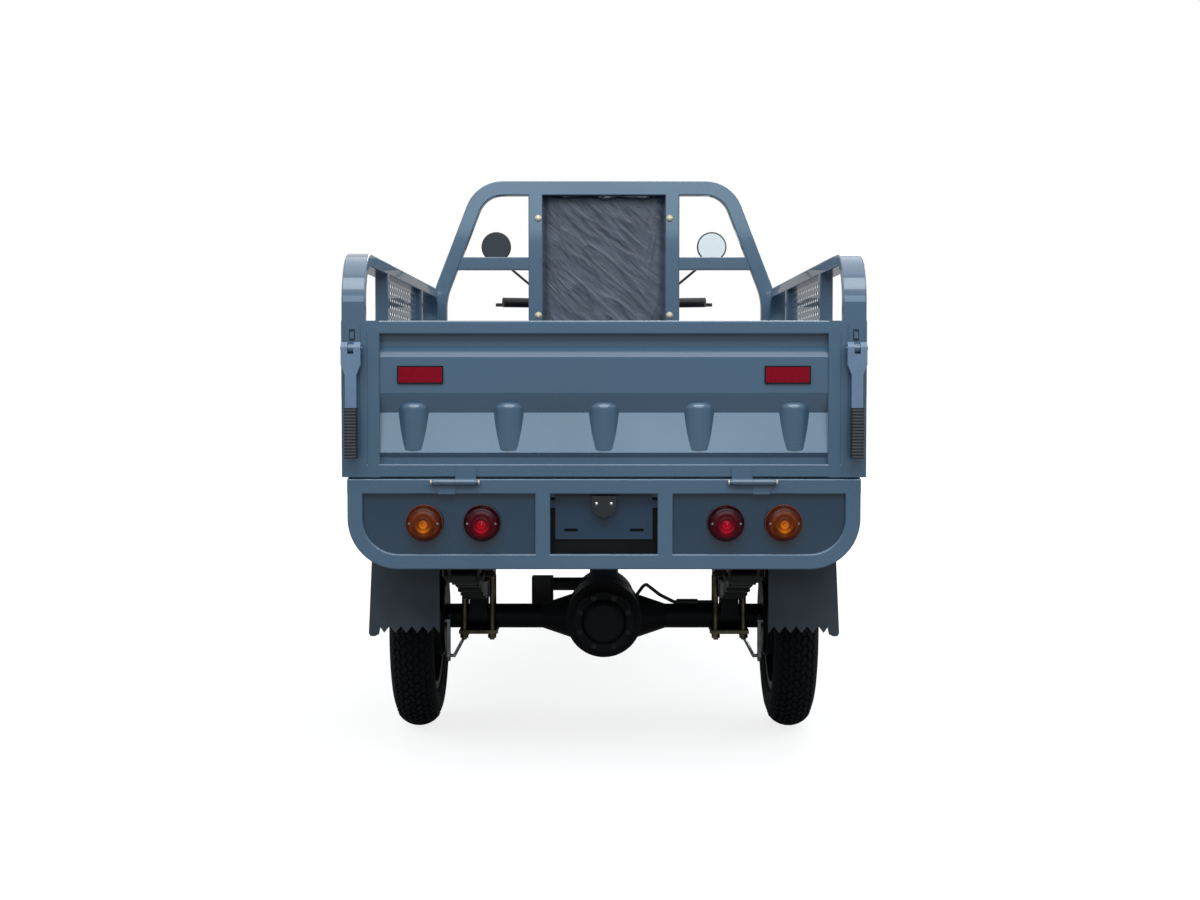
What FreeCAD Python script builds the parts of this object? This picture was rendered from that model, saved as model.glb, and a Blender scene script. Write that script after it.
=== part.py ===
import FreeCAD, Part
import math
import os

# Electric cargo tricycle, in millimetres.
# +X is the rider's right, +Y is forward, +Z is up and the ground is z = 0.
# Distances along the bed are counted forward from the tailgate's outer face.

Vector = FreeCAD.Vector
X_AXIS = Vector(1, 0, 0)
Y_AXIS = Vector(0, 1, 0)
Z_AXIS = Vector(0, 0, 1)
SIDES = (-1, 1)

# Clearances
SHAFT_FIT = 0.1
BODY_GAP = 0.5
TUBE_CORNER = 3.0

# Overall sizes
LATCH_PROJECTION = 38.0
BED_LENGTH = 1545.0
SEAT_SPACE = 115.0
BOX_LENGTH = 330.0
FOOT_SPACE = 340.0
FORK_REACH = 290.0
TYRE_RADIUS = 248.0
BOX_REAR = BED_LENGTH + SEAT_SPACE
BOX_FRONT = BOX_REAR + BOX_LENGTH
CAB_FRONT = BOX_FRONT + FOOT_SPACE
OVERALL_LENGTH = LATCH_PROJECTION + CAB_FRONT + FORK_REACH + TYRE_RADIUS
TAIL_Y = LATCH_PROJECTION - OVERALL_LENGTH / 2
TYRE_WIDTH = 96.0
RIM_RADIUS = 152.4
RIM_HALF = 38.0
RIM_SHEET = 3.0
AXLE_Z = TYRE_RADIUS
AXLE_Y = TAIL_Y + 560.0
FRONT_AXLE_Y = OVERALL_LENGTH / 2 - TYRE_RADIUS
WHEEL_X = 418.0
BED_HALF = 513.0
HEADBOARD_Y = TAIL_Y + BED_LENGTH
FLOOR_Z = 600.0
FLOOR_SHEET = 3.0
SIDE_TOP = 903.0
GUARD_TOP = 1040.0
HEADBOARD_TOP = 1347.0

# Bed frame and cab frame
RAIL_X = 285.0
RAIL_HALF = 20.0
RAIL_BOTTOM = 495.0
RAIL_TOP = 555.0
RAIL_FRONT = BED_LENGTH + 95.0
BEARER_HALF = BED_HALF - 8.0
BEARER_DEPTH = 40.0
FLAP_BEARER = 200.0
BEARERS = (30.5, FLAP_BEARER, 520.0, 840.0, 1160.0, BED_LENGTH)
CAB_RAIL_X = 150.0
CAB_RAIL_TOP = 360.0
CAB_RAIL_HEIGHT = 40.0

# Bed sides and side guards
RAIL_TUBE = 46.0
RAIL_TUBE_HEIGHT = 26.0
GUARD_X = BED_HALF - RAIL_TUBE / 2
GUARD_DEPTH = 25.0
GUARD_REAR = 5.5
SIDE_REAR = GUARD_REAR + GUARD_DEPTH
GUARD_BEND = 87.5
GUARD_POSTS = (372.0, 1066.0)
GUARD_POST = 28.0
SHEET = 2.0
SIDE_RIBS = 8
SIDE_RIB_MARGIN = 90.25
TAILGATE_RIBS = 5
TAILGATE_RIB_MARGIN = 64.0

# Tailgate, hinges and latches
GATE_TUBE = 26.0
GATE_END_GAP = 3.0
GATE_HALF = BED_HALF - RAIL_TUBE - GATE_END_GAP
GATE_BOTTOM = FLOOR_Z - FLOOR_SHEET
REFLECTOR_X = GATE_HALF - 105.0
STRIP_SHEET = 4.0
HINGE_Y = TAIL_Y - 7.0
HINGE_Z = GATE_BOTTOM - 9.0
HINGE_X = GATE_HALF - 173.0
KNUCKLE_RADIUS = 6.5
HINGE_PIN = 4.0
LATCH_X = BED_HALF - 22.0
LATCH_Y = TAIL_Y - 15.0
LATCH_Z = SIDE_TOP - 54.0
LATCH_REACH = 116.0
KEEPER_Z = LATCH_Z + 25.5

# Headboard
HOOP_TUBE = 40.0
HOOP_HALF = BED_HALF - RAIL_TUBE
HOOP_SHOULDER = 1021.0
HOOP_TOP_HALF = HOOP_HALF - 119.0
UPRIGHT_X = 194.0
BOLT_X = 186.0
BOLT_HEIGHTS = (HEADBOARD_TOP - 379.0, HEADBOARD_TOP - 105.0)
BOLT_RADIUS = 4.0

# Frame below the tailgate
REAR_TUBE = 30.0
REAR_HALF = BED_HALF - 10.0
REAR_HEIGHT = 178.0
REAR_TOP = GATE_BOTTOM - 3.0
REAR_BOTTOM = REAR_TOP - REAR_HEIGHT
REAR_UPRIGHT_X = 120.0
REAR_BEND = 85.0
LAMP_Z = REAR_BOTTOM + 91.0
AMBER_X = REAR_HALF - 151.0
RED_X = AMBER_X - 113.0
LAMP_RADIUS = 36.5
PANEL_FRONT = 12.0
PLATE_SLOT_X = 65.0
PLATE_SLOT_Z = REAR_BOTTOM + 75.0
PLATE_SLOT = 28.0
PLATE_SLOT_RADIUS = 3.0

# Mud flaps
FLAP_WIDTH = 147.0
FLAP_TAPER = 15.0
FLAP_LENGTH = 328.0
FLAP_SHEET = 5.0
FLAP_TEETH = 5
FLAP_LOBE = 32.0

# Rear axle and springs
TUBE_RADIUS = 27.5
TUBE_BORE = 21.5
HALF_SHAFT = 12.5
HOUSING_END = 358.0
PLATE_RADIUS = 86.0
DRUM_BORE = 80.0
DRUM_IN = 364.0
DRUM_OUT = 404.0
SPRING_WIDTH = 50.0
SPRING_RADIUS = 1679.0
SPRING_SEAT = 299.5
LEAF = 7.0
LEAF_PITCH = 7.2
LEAF_HALVES = (150.0, 220.0, 290.0, 360.0, 430.0)
EYE_RADIUS = 17.0
EYE_BORE = 8.0
SHACKLE_IN = 26.0
SHACKLE_SHEET = 6.0
U_BOLT_X = 31.5
U_BOLT_Y = 36.0
U_BOLT = 5.5
MOTOR_BACK = 88.0
MOTOR_FRONT = 300.0
MOTOR_RADIUS = 75.0
MOTOR_SHAFT = 10.0
GEAR_RATIO = 4.0
GEAR_GAP = 0.4
CAM_Y = AXLE_Y - 62.0
CAM_Z = AXLE_Z - 3.0
CAM_RADIUS = 6.0
ROD_Z = 166.0
ROD_X = 337.0
ROD_RADIUS = 4.0
ROD_SLOT_GAP = 0.4
EQUALISER_Y = AXLE_Y + 540.0

# Steering and front wheel
RAKE = math.radians(24.0)
UP = Vector(0, -math.sin(RAKE), math.cos(RAKE))
AHEAD = Vector(0, math.cos(RAKE), math.sin(RAKE))
STEER_OFFSET = -35.0
LEG_X = 84.0
STEM_RADIUS = 12.5
HEAD_RADIUS = 30.0
HEAD_BORE = 24.0
LOWER_YOKE = 482.0
UPPER_YOKE = 690.0
YOKE_DEPTH = 24.0
YOKE_GAP = 4.0
HEAD_LOW = LOWER_YOKE + YOKE_DEPTH + YOKE_GAP
HEAD_HIGH = UPPER_YOKE - YOKE_GAP
STANCHION = 16.0
STANCHION_FOOT = 120.0
SLIDER = 22.0
SLIDER_TOP = 330.0
FRONT_AXLE = 7.0
FENDER_RADIUS = 262.0
FENDER_SHEET = 4.0
FENDER_HALF = 56.0
BAR_RADIUS = 11.0
BAR_RISE = UPPER_YOKE + 99.0
BAR_HALF = 322.0
BAR_SWEEP = 102.0
BAR_LIFT = 76.5
GRIP_RADIUS = 15.5
GRIP_LENGTH = 84.0
LEVER_PIN = 3.0
MIRROR_X = BAR_HALF + 22.0
MIRROR_LIFT = 177.0
MIRROR_RADIUS = 47.5
MIRROR_PIN = 4.0

# Battery box, seat and foot space
BOX_HALF = 240.0
BOX_TOP = 740.0
BOX_SHEET = 2.5
SEAT_GAP = 5.0
SEAT_THICKNESS = 60.0
SEAT_PIN_Y = BOX_FRONT + 9.0
SEAT_PIN_Z = BOX_TOP + 4.0
FOOT_HALF = 300.0
FOOT_SHEET = 3.0
SHIELD_Y = CAB_FRONT - 44.0
SHIELD_TOP = 860.0
SHIELD_LEAN = 71.0
SHIELD_BEND = 630.0
PEDAL_X = 170.0
PEDAL_Y = SHIELD_Y - 106.0
PEDAL_Z = CAB_RAIL_TOP + 15.0


# Helper shapes
def bed_y(distance):
    return TAIL_Y + distance


def block(x0, x1, y0, y1, z0, z1):
    low = Vector(min(x0, x1), min(y0, y1), min(z0, z1))
    return Part.makeBox(abs(x1 - x0), abs(y1 - y0), abs(z1 - z0), low)


def bar(x0, x1, y0, y1, z0, z1, along, corner=TUBE_CORNER):
    # A tube filling a box, with its long edges rounded.
    shape = block(x0, x1, y0, y1, z0, z1)
    edges = [edge for edge in shape.Edges if abs(edge.tangentAt(edge.FirstParameter).dot(along)) > 0.9]
    return shape.makeFillet(corner, edges)


def rod(start, end, radius):
    run = end - start
    return Part.makeCylinder(radius, run.Length, start, run)


def sleeve(start, end, outer, bore):
    return rod(start, end, outer).cut(rod(start, end, bore))


def prism(points, run):
    return Part.Face(Part.makePolygon(points + [points[0]])).extrude(run)


def turned(profile, origin, axis, radial):
    # The profile is a list of (distance along the axis, radius).
    points = [origin + axis * along + radial * radius for along, radius in profile]
    return Part.Face(Part.makePolygon(points + [points[0]])).revolve(origin, axis, 360.0)


def fused(shapes):
    return shapes[0].multiFuse(shapes[1:]).removeSplitter()


def mirrored(shape):
    return shape.mirror(Vector(0, 0, 0), X_AXIS)


def both(shapes):
    # The shapes of the right side and their copies on the left.
    return shapes + [mirrored(shape) for shape in shapes]


def section(centre, across, upward, width, height, corner=TUBE_CORNER):
    # A rounded rectangle as a wire.
    arcs = []
    for right, top in ((1, 1), (-1, 1), (-1, -1), (1, -1)):
        inner = centre + across * (right * (width / 2 - corner)) + upward * (top * (height / 2 - corner))
        beside = inner + across * (right * corner)
        above = inner + upward * (top * corner)
        middle = inner + (across * right + upward * top) * (corner * math.sqrt(0.5))
        arcs.append((beside, middle, above) if right * top > 0 else (above, middle, beside))
    edges = []
    for index, (first, middle, last) in enumerate(arcs):
        edges.append(Part.Arc(first, middle, last).toShape())
        edges.append(Part.makeLine(last, arcs[(index + 1) % 4][0]))
    return Part.Wire(edges)


def bent_path(points, radii):
    # Straight runs joined by tangent bends, one radius for each inner point.
    edges = []
    start = points[0]
    for before, corner, after, radius in zip(points, points[1:], points[2:], radii):
        inward = (before - corner).normalize()
        outward = (after - corner).normalize()
        half = inward.getAngle(outward) / 2
        setback = radius / math.tan(half)
        bisector = (inward + outward).normalize()
        first = corner + inward * setback
        last = corner + outward * setback
        middle = corner + bisector * (radius / math.sin(half) - radius)
        edges.append(Part.makeLine(start, first))
        edges.append(Part.Arc(first, middle, last).toShape())
        start = last
    edges.append(Part.makeLine(start, points[-1]))
    return Part.Wire(edges)


def bent_tube(points, radii, across, width, depth):
    # A flat-sided tube that keeps its width along the direction across.
    path = bent_path(points, radii)
    upward = (points[1] - points[0]).cross(across).normalize()
    pipe = Part.BRepOffsetAPI.MakePipeShell(path)
    pipe.setBiNormalMode(across)
    pipe.add(section(points[0], across, upward, width, depth))
    pipe.build()
    pipe.makeSolid()
    return pipe.shape()


def bent_rod(points, radii, radius):
    path = bent_path(points, radii)
    profile = Part.Wire(Part.makeCircle(radius, points[0], points[1] - points[0]))
    return path.makePipeShell([profile], True, False)


def fork_point(x, along, ahead):
    return Vector(x, FRONT_AXLE_Y, AXLE_Z) + UP * along + AHEAD * ahead


def axle_point(x, forward=0.0, rise=0.0):
    return Vector(x, AXLE_Y + forward, AXLE_Z + rise)


def cushion(levels, half_width, half_length, corner, place):
    # A loft through rounded rectangles, each level a (height, inset) pair.
    wires = []
    for height, inset in levels:
        wire = section(Vector(0, 0, height), X_AXIS, Y_AXIS, 2 * (half_width - inset),
                       2 * (half_length - inset), corner)
        wires.append(wire)
    shape = Part.makeLoft(wires, True, False)
    shape.Placement = place
    return shape


parts = {}


# Chassis: bed rails, bearers, cross members and cab rails welded into one frame
frame = []
for side in SIDES:
    frame.append(bar(side * (RAIL_X - RAIL_HALF), side * (RAIL_X + RAIL_HALF), bed_y(34), bed_y(RAIL_FRONT),
                     RAIL_BOTTOM, RAIL_TOP, Y_AXIS))
    frame.append(bar(side * (CAB_RAIL_X - 20), side * (CAB_RAIL_X + 20),
                     bed_y(RAIL_FRONT - 40), bed_y(CAB_FRONT),
                     CAB_RAIL_TOP - CAB_RAIL_HEIGHT, CAB_RAIL_TOP, Y_AXIS))
    frame.append(bar(side * (CAB_RAIL_X - 20), side * (CAB_RAIL_X + 20),
                     bed_y(RAIL_FRONT - 40), bed_y(RAIL_FRONT),
                     CAB_RAIL_TOP - 10, RAIL_BOTTOM + 10, Z_AXIS))
for distance in BEARERS:
    frame.append(bar(-BEARER_HALF, BEARER_HALF, bed_y(distance), bed_y(distance + BEARER_DEPTH),
                     RAIL_TOP, FLOOR_Z - FLOOR_SHEET, X_AXIS))
for distance in (36.0, 900.0, RAIL_FRONT - 40.0):
    frame.append(bar(-RAIL_X, RAIL_X, bed_y(distance), bed_y(distance + 40), RAIL_BOTTOM, RAIL_TOP, X_AXIS))
frame.append(bar(-CAB_RAIL_X, CAB_RAIL_X, bed_y(CAB_FRONT - 40), bed_y(CAB_FRONT),
                 CAB_RAIL_TOP - CAB_RAIL_HEIGHT, CAB_RAIL_TOP, X_AXIS))
parts["chassis_frame"] = fused(frame)

# Steering neck
head_outer = rod(fork_point(0, HEAD_LOW, STEER_OFFSET), fork_point(0, HEAD_HIGH, STEER_OFFSET), HEAD_RADIUS)
head_bore = rod(fork_point(0, HEAD_LOW - 1, STEER_OFFSET), fork_point(0, HEAD_HIGH + 1, STEER_OFFSET),
                HEAD_BORE)
neck_foot = Vector(0, bed_y(CAB_FRONT - 20), CAB_RAIL_TOP)
neck_top = fork_point(0, HEAD_HIGH - 41, STEER_OFFSET)
lean = neck_top - neck_foot
foot_outline = [neck_foot + Vector(x, y, 0) for x, y in ((-20, -20), (20, -20), (20, 20), (-20, 20))]
neck = [head_outer, prism(foot_outline, lean)]
for side in SIDES:
    strut_foot = Vector(side * CAB_RAIL_X, bed_y(CAB_FRONT - 16), CAB_RAIL_TOP - 12)
    neck.append(rod(strut_foot, fork_point(side * 12, HEAD_HIGH - 31, STEER_OFFSET), 13.0))
neck = fused(neck).cut(head_bore).cut(parts["chassis_frame"])
rings = []
for low in (HEAD_LOW, HEAD_HIGH - 12):
    rings.append(sleeve(fork_point(0, low, STEER_OFFSET), fork_point(0, low + 12, STEER_OFFSET),
                        HEAD_BORE, STEM_RADIUS + SHAFT_FIT))
parts["neck_frame"] = fused([max(neck.Solids, key=lambda solid: solid.Volume)] + rings)

# Bed floor
parts["bed_floor"] = block(-BED_HALF, BED_HALF, bed_y(SIDE_REAR), bed_y(BED_LENGTH + HOOP_TUBE),
                           FLOOR_Z - FLOOR_SHEET, FLOOR_Z)


# Pressed panel with ribs, drawn with depth along +Y from an outer face at y = 0
def pressed_panel(half_length, bottom, top, ribs, margin):
    front = [(20, top), (20, top - 24), (5, top - 45), (5, top - 115), (22, top - 154), (9, bottom + 22),
             (16, bottom + 12), (16, bottom)]
    face = [Vector(-half_length, depth, height) for depth, height in front]
    back = [point + Vector(0, SHEET, 0) for point in face]
    run = Vector(2 * half_length, 0, 0)
    sheet = prism(face + back[::-1], run)
    behind = prism([back[0] + Vector(0, 90, 0)] + back + [back[-1] + Vector(0, 90, 0)], run)
    low, high = bottom + 27, top - 133
    pitch = 2 * (half_length - margin) / (ribs - 1)
    shapes = [sheet]
    for index in range(ribs):
        centre = (index - (ribs - 1) / 2) * pitch
        cone = Part.makeCone(29.6, 33.0, high - low, Vector(centre, 35, low), Z_AXIS)
        rim = [edge for edge in cone.Edges if abs(edge.CenterOfMass.z - high) < 0.01 and edge.Length > 100]
        shapes.append(cone.makeFillet(12.0, rim).cut(behind))
    return fused(shapes)


# Bed sides
side_length = BED_LENGTH - SIDE_REAR
panel_length = side_length - GUARD_DEPTH
panel = pressed_panel(panel_length / 2, FLOOR_Z + RAIL_TUBE_HEIGHT, SIDE_TOP - RAIL_TUBE_HEIGHT,
                      SIDE_RIBS, SIDE_RIB_MARGIN)
panel.rotate(Vector(0, 0, 0), Z_AXIS, 90.0)
panel.translate(Vector(BED_HALF, bed_y(SIDE_REAR + panel_length / 2), 0))
side_wall = [panel]
for low in (FLOOR_Z, SIDE_TOP - RAIL_TUBE_HEIGHT):
    side_wall.append(bar(BED_HALF - RAIL_TUBE, BED_HALF, bed_y(SIDE_REAR), HEADBOARD_Y,
                         low, low + RAIL_TUBE_HEIGHT, Y_AXIS))
side_wall.append(block(BED_HALF - RAIL_TUBE, BED_HALF, HEADBOARD_Y - GUARD_DEPTH, HEADBOARD_Y,
                       FLOOR_Z + TUBE_CORNER, SIDE_TOP - TUBE_CORNER))
parts["bed_side_right"] = fused(side_wall)
parts["bed_side_left"] = mirrored(parts["bed_side_right"])

# Side guards: bent flat tube, two posts, a slotted panel and the latch tongue
guard_line = GUARD_TOP - GUARD_DEPTH / 2
rear_line = bed_y(GUARD_REAR + GUARD_DEPTH / 2)
front_line = HEADBOARD_Y - GUARD_DEPTH / 2
hoop = bent_tube([Vector(GUARD_X, rear_line, FLOOR_Z), Vector(GUARD_X, rear_line, guard_line),
                  Vector(GUARD_X, front_line, guard_line), Vector(GUARD_X, front_line, SIDE_TOP)],
                 [GUARD_BEND, GUARD_BEND], X_AXIS, RAIL_TUBE, GUARD_DEPTH)
guard = [hoop]
post_in = BED_HALF - RAIL_TUBE
for distance in GUARD_POSTS:
    guard.append(bar(post_in, post_in + GUARD_POST, bed_y(distance), bed_y(distance + GUARD_POST),
                     SIDE_TOP, guard_line, Z_AXIS))
bay_rear = GUARD_POSTS[0] + GUARD_POST - TUBE_CORNER
bay_front = GUARD_POSTS[1] + TUBE_CORNER
mesh_x = post_in + GUARD_POST / 2
outline = [Vector(mesh_x, bed_y(bay_rear), SIDE_TOP), Vector(mesh_x, bed_y(bay_front), SIDE_TOP),
           Vector(mesh_x, bed_y(bay_front), guard_line), Vector(mesh_x, bed_y(bay_rear), guard_line)]
wires = [Part.makePolygon(outline + [outline[0]])]
for column in range(18):
    for row in range(6):
        centre = Vector(mesh_x, bed_y(bay_rear + 34 + column * 35.6), SIDE_TOP + 17 + row * 15.5)
        wires.append(section(centre, Y_AXIS, Z_AXIS, 25.0, 7.0, 3.0))
guard.append(Part.Face(wires, "Part::FaceMakerBullseye").extrude(Vector(SHEET, 0, 0)))
guard.append(block(LATCH_X - 4, LATCH_X + 4, TAIL_Y - 6, rear_line, KEEPER_Z - 6.5, KEEPER_Z + 6.5))
parts["side_guard_right"] = fused(guard)
parts["side_guard_left"] = mirrored(parts["side_guard_right"])

# Headboard: bent hoop, two uprights, two middle rails and the front wall of the bed
hoop_y = HEADBOARD_Y + HOOP_TUBE / 2
hoop_z = HEADBOARD_TOP - HOOP_TUBE / 2
hoop = bent_tube([Vector(-HOOP_HALF, hoop_y, FLOOR_Z), Vector(-HOOP_HALF, hoop_y, HOOP_SHOULDER),
                  Vector(-HOOP_TOP_HALF, hoop_y, hoop_z), Vector(HOOP_TOP_HALF, hoop_y, hoop_z),
                  Vector(HOOP_HALF, hoop_y, HOOP_SHOULDER), Vector(HOOP_HALF, hoop_y, FLOOR_Z)],
                 [180.0, 90.0, 90.0, 180.0], Y_AXIS, HOOP_TUBE, HOOP_TUBE)
headboard = [hoop]
for side in SIDES:
    upright = bar(side * (UPRIGHT_X - 20), side * (UPRIGHT_X + 20), HEADBOARD_Y, HEADBOARD_Y + HOOP_TUBE,
                  FLOOR_Z, hoop_z, Z_AXIS)
    for height in BOLT_HEIGHTS:
        upright = upright.cut(rod(Vector(side * BOLT_X, HEADBOARD_Y - 1, height),
                                  Vector(side * BOLT_X, HEADBOARD_Y + HOOP_TUBE + 1, height), BOLT_RADIUS))
    headboard.append(upright)
    headboard.append(bar(side * (UPRIGHT_X + 14), side * (HOOP_HALF - 31), HEADBOARD_Y + 2, HEADBOARD_Y + 38,
                         HEADBOARD_TOP - 250, HEADBOARD_TOP - 214, X_AXIS))
wall = block(-HOOP_HALF, HOOP_HALF, HEADBOARD_Y - SHEET, HEADBOARD_Y + TUBE_CORNER, FLOOR_Z, SIDE_TOP)
headboard.append(wall.cut(block(-HOOP_HALF + 25, HOOP_HALF - 25, HEADBOARD_Y, HEADBOARD_Y + 10,
                                FLOOR_Z - 1, SIDE_TOP + 7)))
parts["headboard_frame"] = fused(headboard)

# Backrest, a padded board bolted to the two uprights
pad_place = FreeCAD.Placement(Vector(0, HEADBOARD_Y + HOOP_TUBE, HEADBOARD_TOP - 248),
                              FreeCAD.Rotation(X_AXIS, -90.0))
pad_levels = ((0.3, 4.0), (10.0, 0.0), (34.0, 0.5), (50.0, 9.0), (57.0, 34.0), (60.0, 90.0))
pad = cushion(pad_levels, 205.0, 209.0, 24.0, pad_place)
bolts = []
for side in SIDES:
    for height in BOLT_HEIGHTS:
        start = Vector(side * BOLT_X, HEADBOARD_Y, height)
        shank = rod(start, start + Y_AXIS * (HOOP_TUBE + 25), BOLT_RADIUS)
        pad = pad.cut(rod(start, start + Y_AXIS * (HOOP_TUBE + 25), BOLT_RADIUS))
        head = turned([(0, 0), (0, 10), (-2.5, 9), (-5.5, 5.5), (-6.5, 0)], start, Y_AXIS, Z_AXIS)
        bolts.append(fused([shank, head]))
parts["backrest_pad"] = pad
parts["backrest_bolts"] = Part.makeCompound(bolts)

# Frame below the tailgate with its lamp panels
frame_y = TAIL_Y + BODY_GAP
frame_line = frame_y + REAR_TUBE / 2
line_half = REAR_HALF - REAR_TUBE / 2
line_low = REAR_BOTTOM + REAR_TUBE / 2
line_high = REAR_TOP - REAR_TUBE / 2
rear = [bent_tube([Vector(-line_half, frame_line, line_high), Vector(-line_half, frame_line, line_low),
                   Vector(line_half, frame_line, line_low), Vector(line_half, frame_line, line_high)],
                  [REAR_BEND, REAR_BEND], Y_AXIS, REAR_TUBE, REAR_TUBE)]
rear.append(bar(-REAR_HALF, REAR_HALF, frame_y, frame_y + REAR_TUBE, REAR_TOP - REAR_TUBE, REAR_TOP, X_AXIS))
for side in SIDES:
    rear.append(bar(side * (REAR_UPRIGHT_X - 15), side * (REAR_UPRIGHT_X + 15), frame_y, frame_y + REAR_TUBE,
                    line_low, line_high, Z_AXIS))
    lamp_panel = block(side * REAR_UPRIGHT_X, side * line_half, TAIL_Y + PANEL_FRONT,
                       TAIL_Y + PANEL_FRONT + SHEET, line_low, line_high)
    corner = [edge for edge in lamp_panel.Edges
              if abs(edge.CenterOfMass.z - line_low) < 0.01
              and abs(abs(edge.CenterOfMass.x) - line_half) < 0.01]
    rear.append(lamp_panel.makeFillet(REAR_BEND, corner))
parts["rear_frame"] = fused(rear)

# Lamps: each a base with a bulb under a hollow domed lens
lens_outer = ((0, 34.5), (12, 34.0), (19, 30.0), (24, 20.0), (26, 0))
lens_inner = ((23.5, 0), (21.5, 19.0), (17, 27.8), (11, 31.5), (0, 32.0))
bases = []
lenses = {AMBER_X: [], RED_X: []}
for side in SIDES:
    for x in lenses:
        seat = Vector(side * x, TAIL_Y + PANEL_FRONT, LAMP_Z)
        base = turned([(0, 0), (0, LAMP_RADIUS), (6, LAMP_RADIUS), (8, LAMP_RADIUS - 2), (8, 0)],
                      seat, -Y_AXIS, Z_AXIS)
        bulb = turned([(8, 0), (8, 7), (14, 7), (19, 8), (23, 6), (25, 0)], seat, -Y_AXIS, Z_AXIS)
        bases.append(fused([base, bulb]))
        lenses[x].append(turned(lens_outer + lens_inner, seat - Y_AXIS * 8, -Y_AXIS, Z_AXIS))
plate_y = TAIL_Y + 28.0
plate_top = REAR_TOP - REAR_TUBE
lamp_outline = [Vector(x, plate_y, plate_top - drop)
                for x, drop in ((-24, 4), (-24, 28), (-17, 40), (0, 47), (17, 40), (24, 28), (24, 4))]
bases.append(prism(lamp_outline, Vector(0, -24, 0)))
parts["lamp_housings"] = Part.makeCompound(bases)
parts["lamp_lens_amber"] = Part.makeCompound(lenses[AMBER_X])
parts["lamp_lens_red"] = Part.makeCompound(lenses[RED_X])

# Number plate holder with two level slots
holder = block(-96, 96, plate_y, plate_y + SHEET, PLATE_SLOT_Z - 18, plate_top)
for side in SIDES:
    slot = section(Vector(side * PLATE_SLOT_X, plate_y - 1, PLATE_SLOT_Z), X_AXIS, Z_AXIS,
                   PLATE_SLOT, 2 * PLATE_SLOT_RADIUS, PLATE_SLOT_RADIUS - 0.01)
    holder = holder.cut(Part.Face(slot).extrude(Vector(0, SHEET + 2, 0)))
for side in SIDES:
    ear = block(side * 90, side * (REAR_UPRIGHT_X - 14), plate_y, plate_y + SHEET,
                plate_top - 29, plate_top - 14)
    holder = holder.fuse(ear.cut(parts["rear_frame"]))
parts["plate_holder"] = holder.removeSplitter()

# Mud flaps with a toothed lower edge and a longer outer lobe, hung on the second bearer
flap_high = FLOOR_Z - 10
flap_low = flap_high - FLAP_LENGTH
flap_in = WHEEL_X - 3 - FLAP_WIDTH / 2
flap_out = flap_in + FLAP_WIDTH
flap_y = bed_y(FLAP_BEARER) - FLAP_SHEET
lobe_in = flap_out - FLAP_LOBE
pitch = (lobe_in - flap_in) / FLAP_TEETH
edge_line = [(flap_in, flap_high), (flap_in, flap_low)]
for tooth in range(FLAP_TEETH):
    edge_line.append((flap_in + (tooth + 0.5) * pitch, flap_low + 14))
    edge_line.append((flap_in + (tooth + 1) * pitch, flap_low))
edge_line += [(lobe_in + 8, flap_low + 12), (lobe_in + 11, flap_low - 3), (lobe_in + 19, flap_low - 7)]
edge_line += [(flap_out - 4, flap_low - 7), (flap_out, flap_low - 1), (flap_out - FLAP_TAPER, flap_high)]
flap = prism([Vector(x, flap_y, z) for x, z in edge_line], Vector(0, FLAP_SHEET, 0))
parts["mud_flaps"] = Part.makeCompound(both([flap]))

# Leaf springs: five leaves a side, each an arc about one centre above the axle
spring_centre = Vector(RAIL_X, AXLE_Y, SPRING_SEAT + SPRING_RADIUS)


def on_arc(radius, angle, x):
    return Vector(x, spring_centre.y + radius * math.sin(angle), spring_centre.z - radius * math.cos(angle))


def leaf_shape(radius, half):
    x = RAIL_X - SPRING_WIDTH / 2
    angle = half / SPRING_RADIUS
    lower = [on_arc(radius, turn, x) for turn in (-angle, 0, angle)]
    upper = [on_arc(radius - LEAF, turn, x) for turn in (angle, 0, -angle)]
    edges = [Part.Arc(*lower).toShape(), Part.makeLine(lower[2], upper[0]), Part.Arc(*upper).toShape(),
             Part.makeLine(upper[2], lower[0])]
    return Part.Face(Part.Wire(edges)).extrude(Vector(SPRING_WIDTH, 0, 0))


leaves = [leaf_shape(SPRING_RADIUS - index * LEAF_PITCH, half) for index, half in enumerate(LEAF_HALVES)]
main_line = SPRING_RADIUS - (len(LEAF_HALVES) - 1) * LEAF_PITCH - LEAF / 2
main_top = SPRING_SEAT + (len(LEAF_HALVES) - 1) * LEAF_PITCH + LEAF
eye_angle = LEAF_HALVES[-1] / SPRING_RADIUS
eyes = [on_arc(main_line, -eye_angle, 0), on_arc(main_line, eye_angle, 0)]
main_leaf = leaves.pop()
for eye in eyes:
    left = Vector(RAIL_X - SPRING_WIDTH / 2, eye.y, eye.z)
    right = Vector(RAIL_X + SPRING_WIDTH / 2, eye.y, eye.z)
    main_leaf = main_leaf.fuse(rod(left, right, EYE_RADIUS)).cut(rod(left, right, EYE_BORE))
leaves.append(main_leaf.removeSplitter())
parts["leaf_springs"] = Part.makeCompound(both(leaves))

# Spring hangers: a bracket at the front eye, a bracket with a shackle at the rear eye
shackle_top = eyes[0].z + 52.0


def hanger_plate(offset, y, top_half, low, low_half):
    x = RAIL_X + offset
    points = [Vector(x, y - top_half, RAIL_BOTTOM), Vector(x, y - low_half, low),
              Vector(x, y + low_half, low), Vector(x, y + top_half, RAIL_BOTTOM)]
    return prism(points, Vector(SHACKLE_SHEET, 0, 0))


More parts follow.
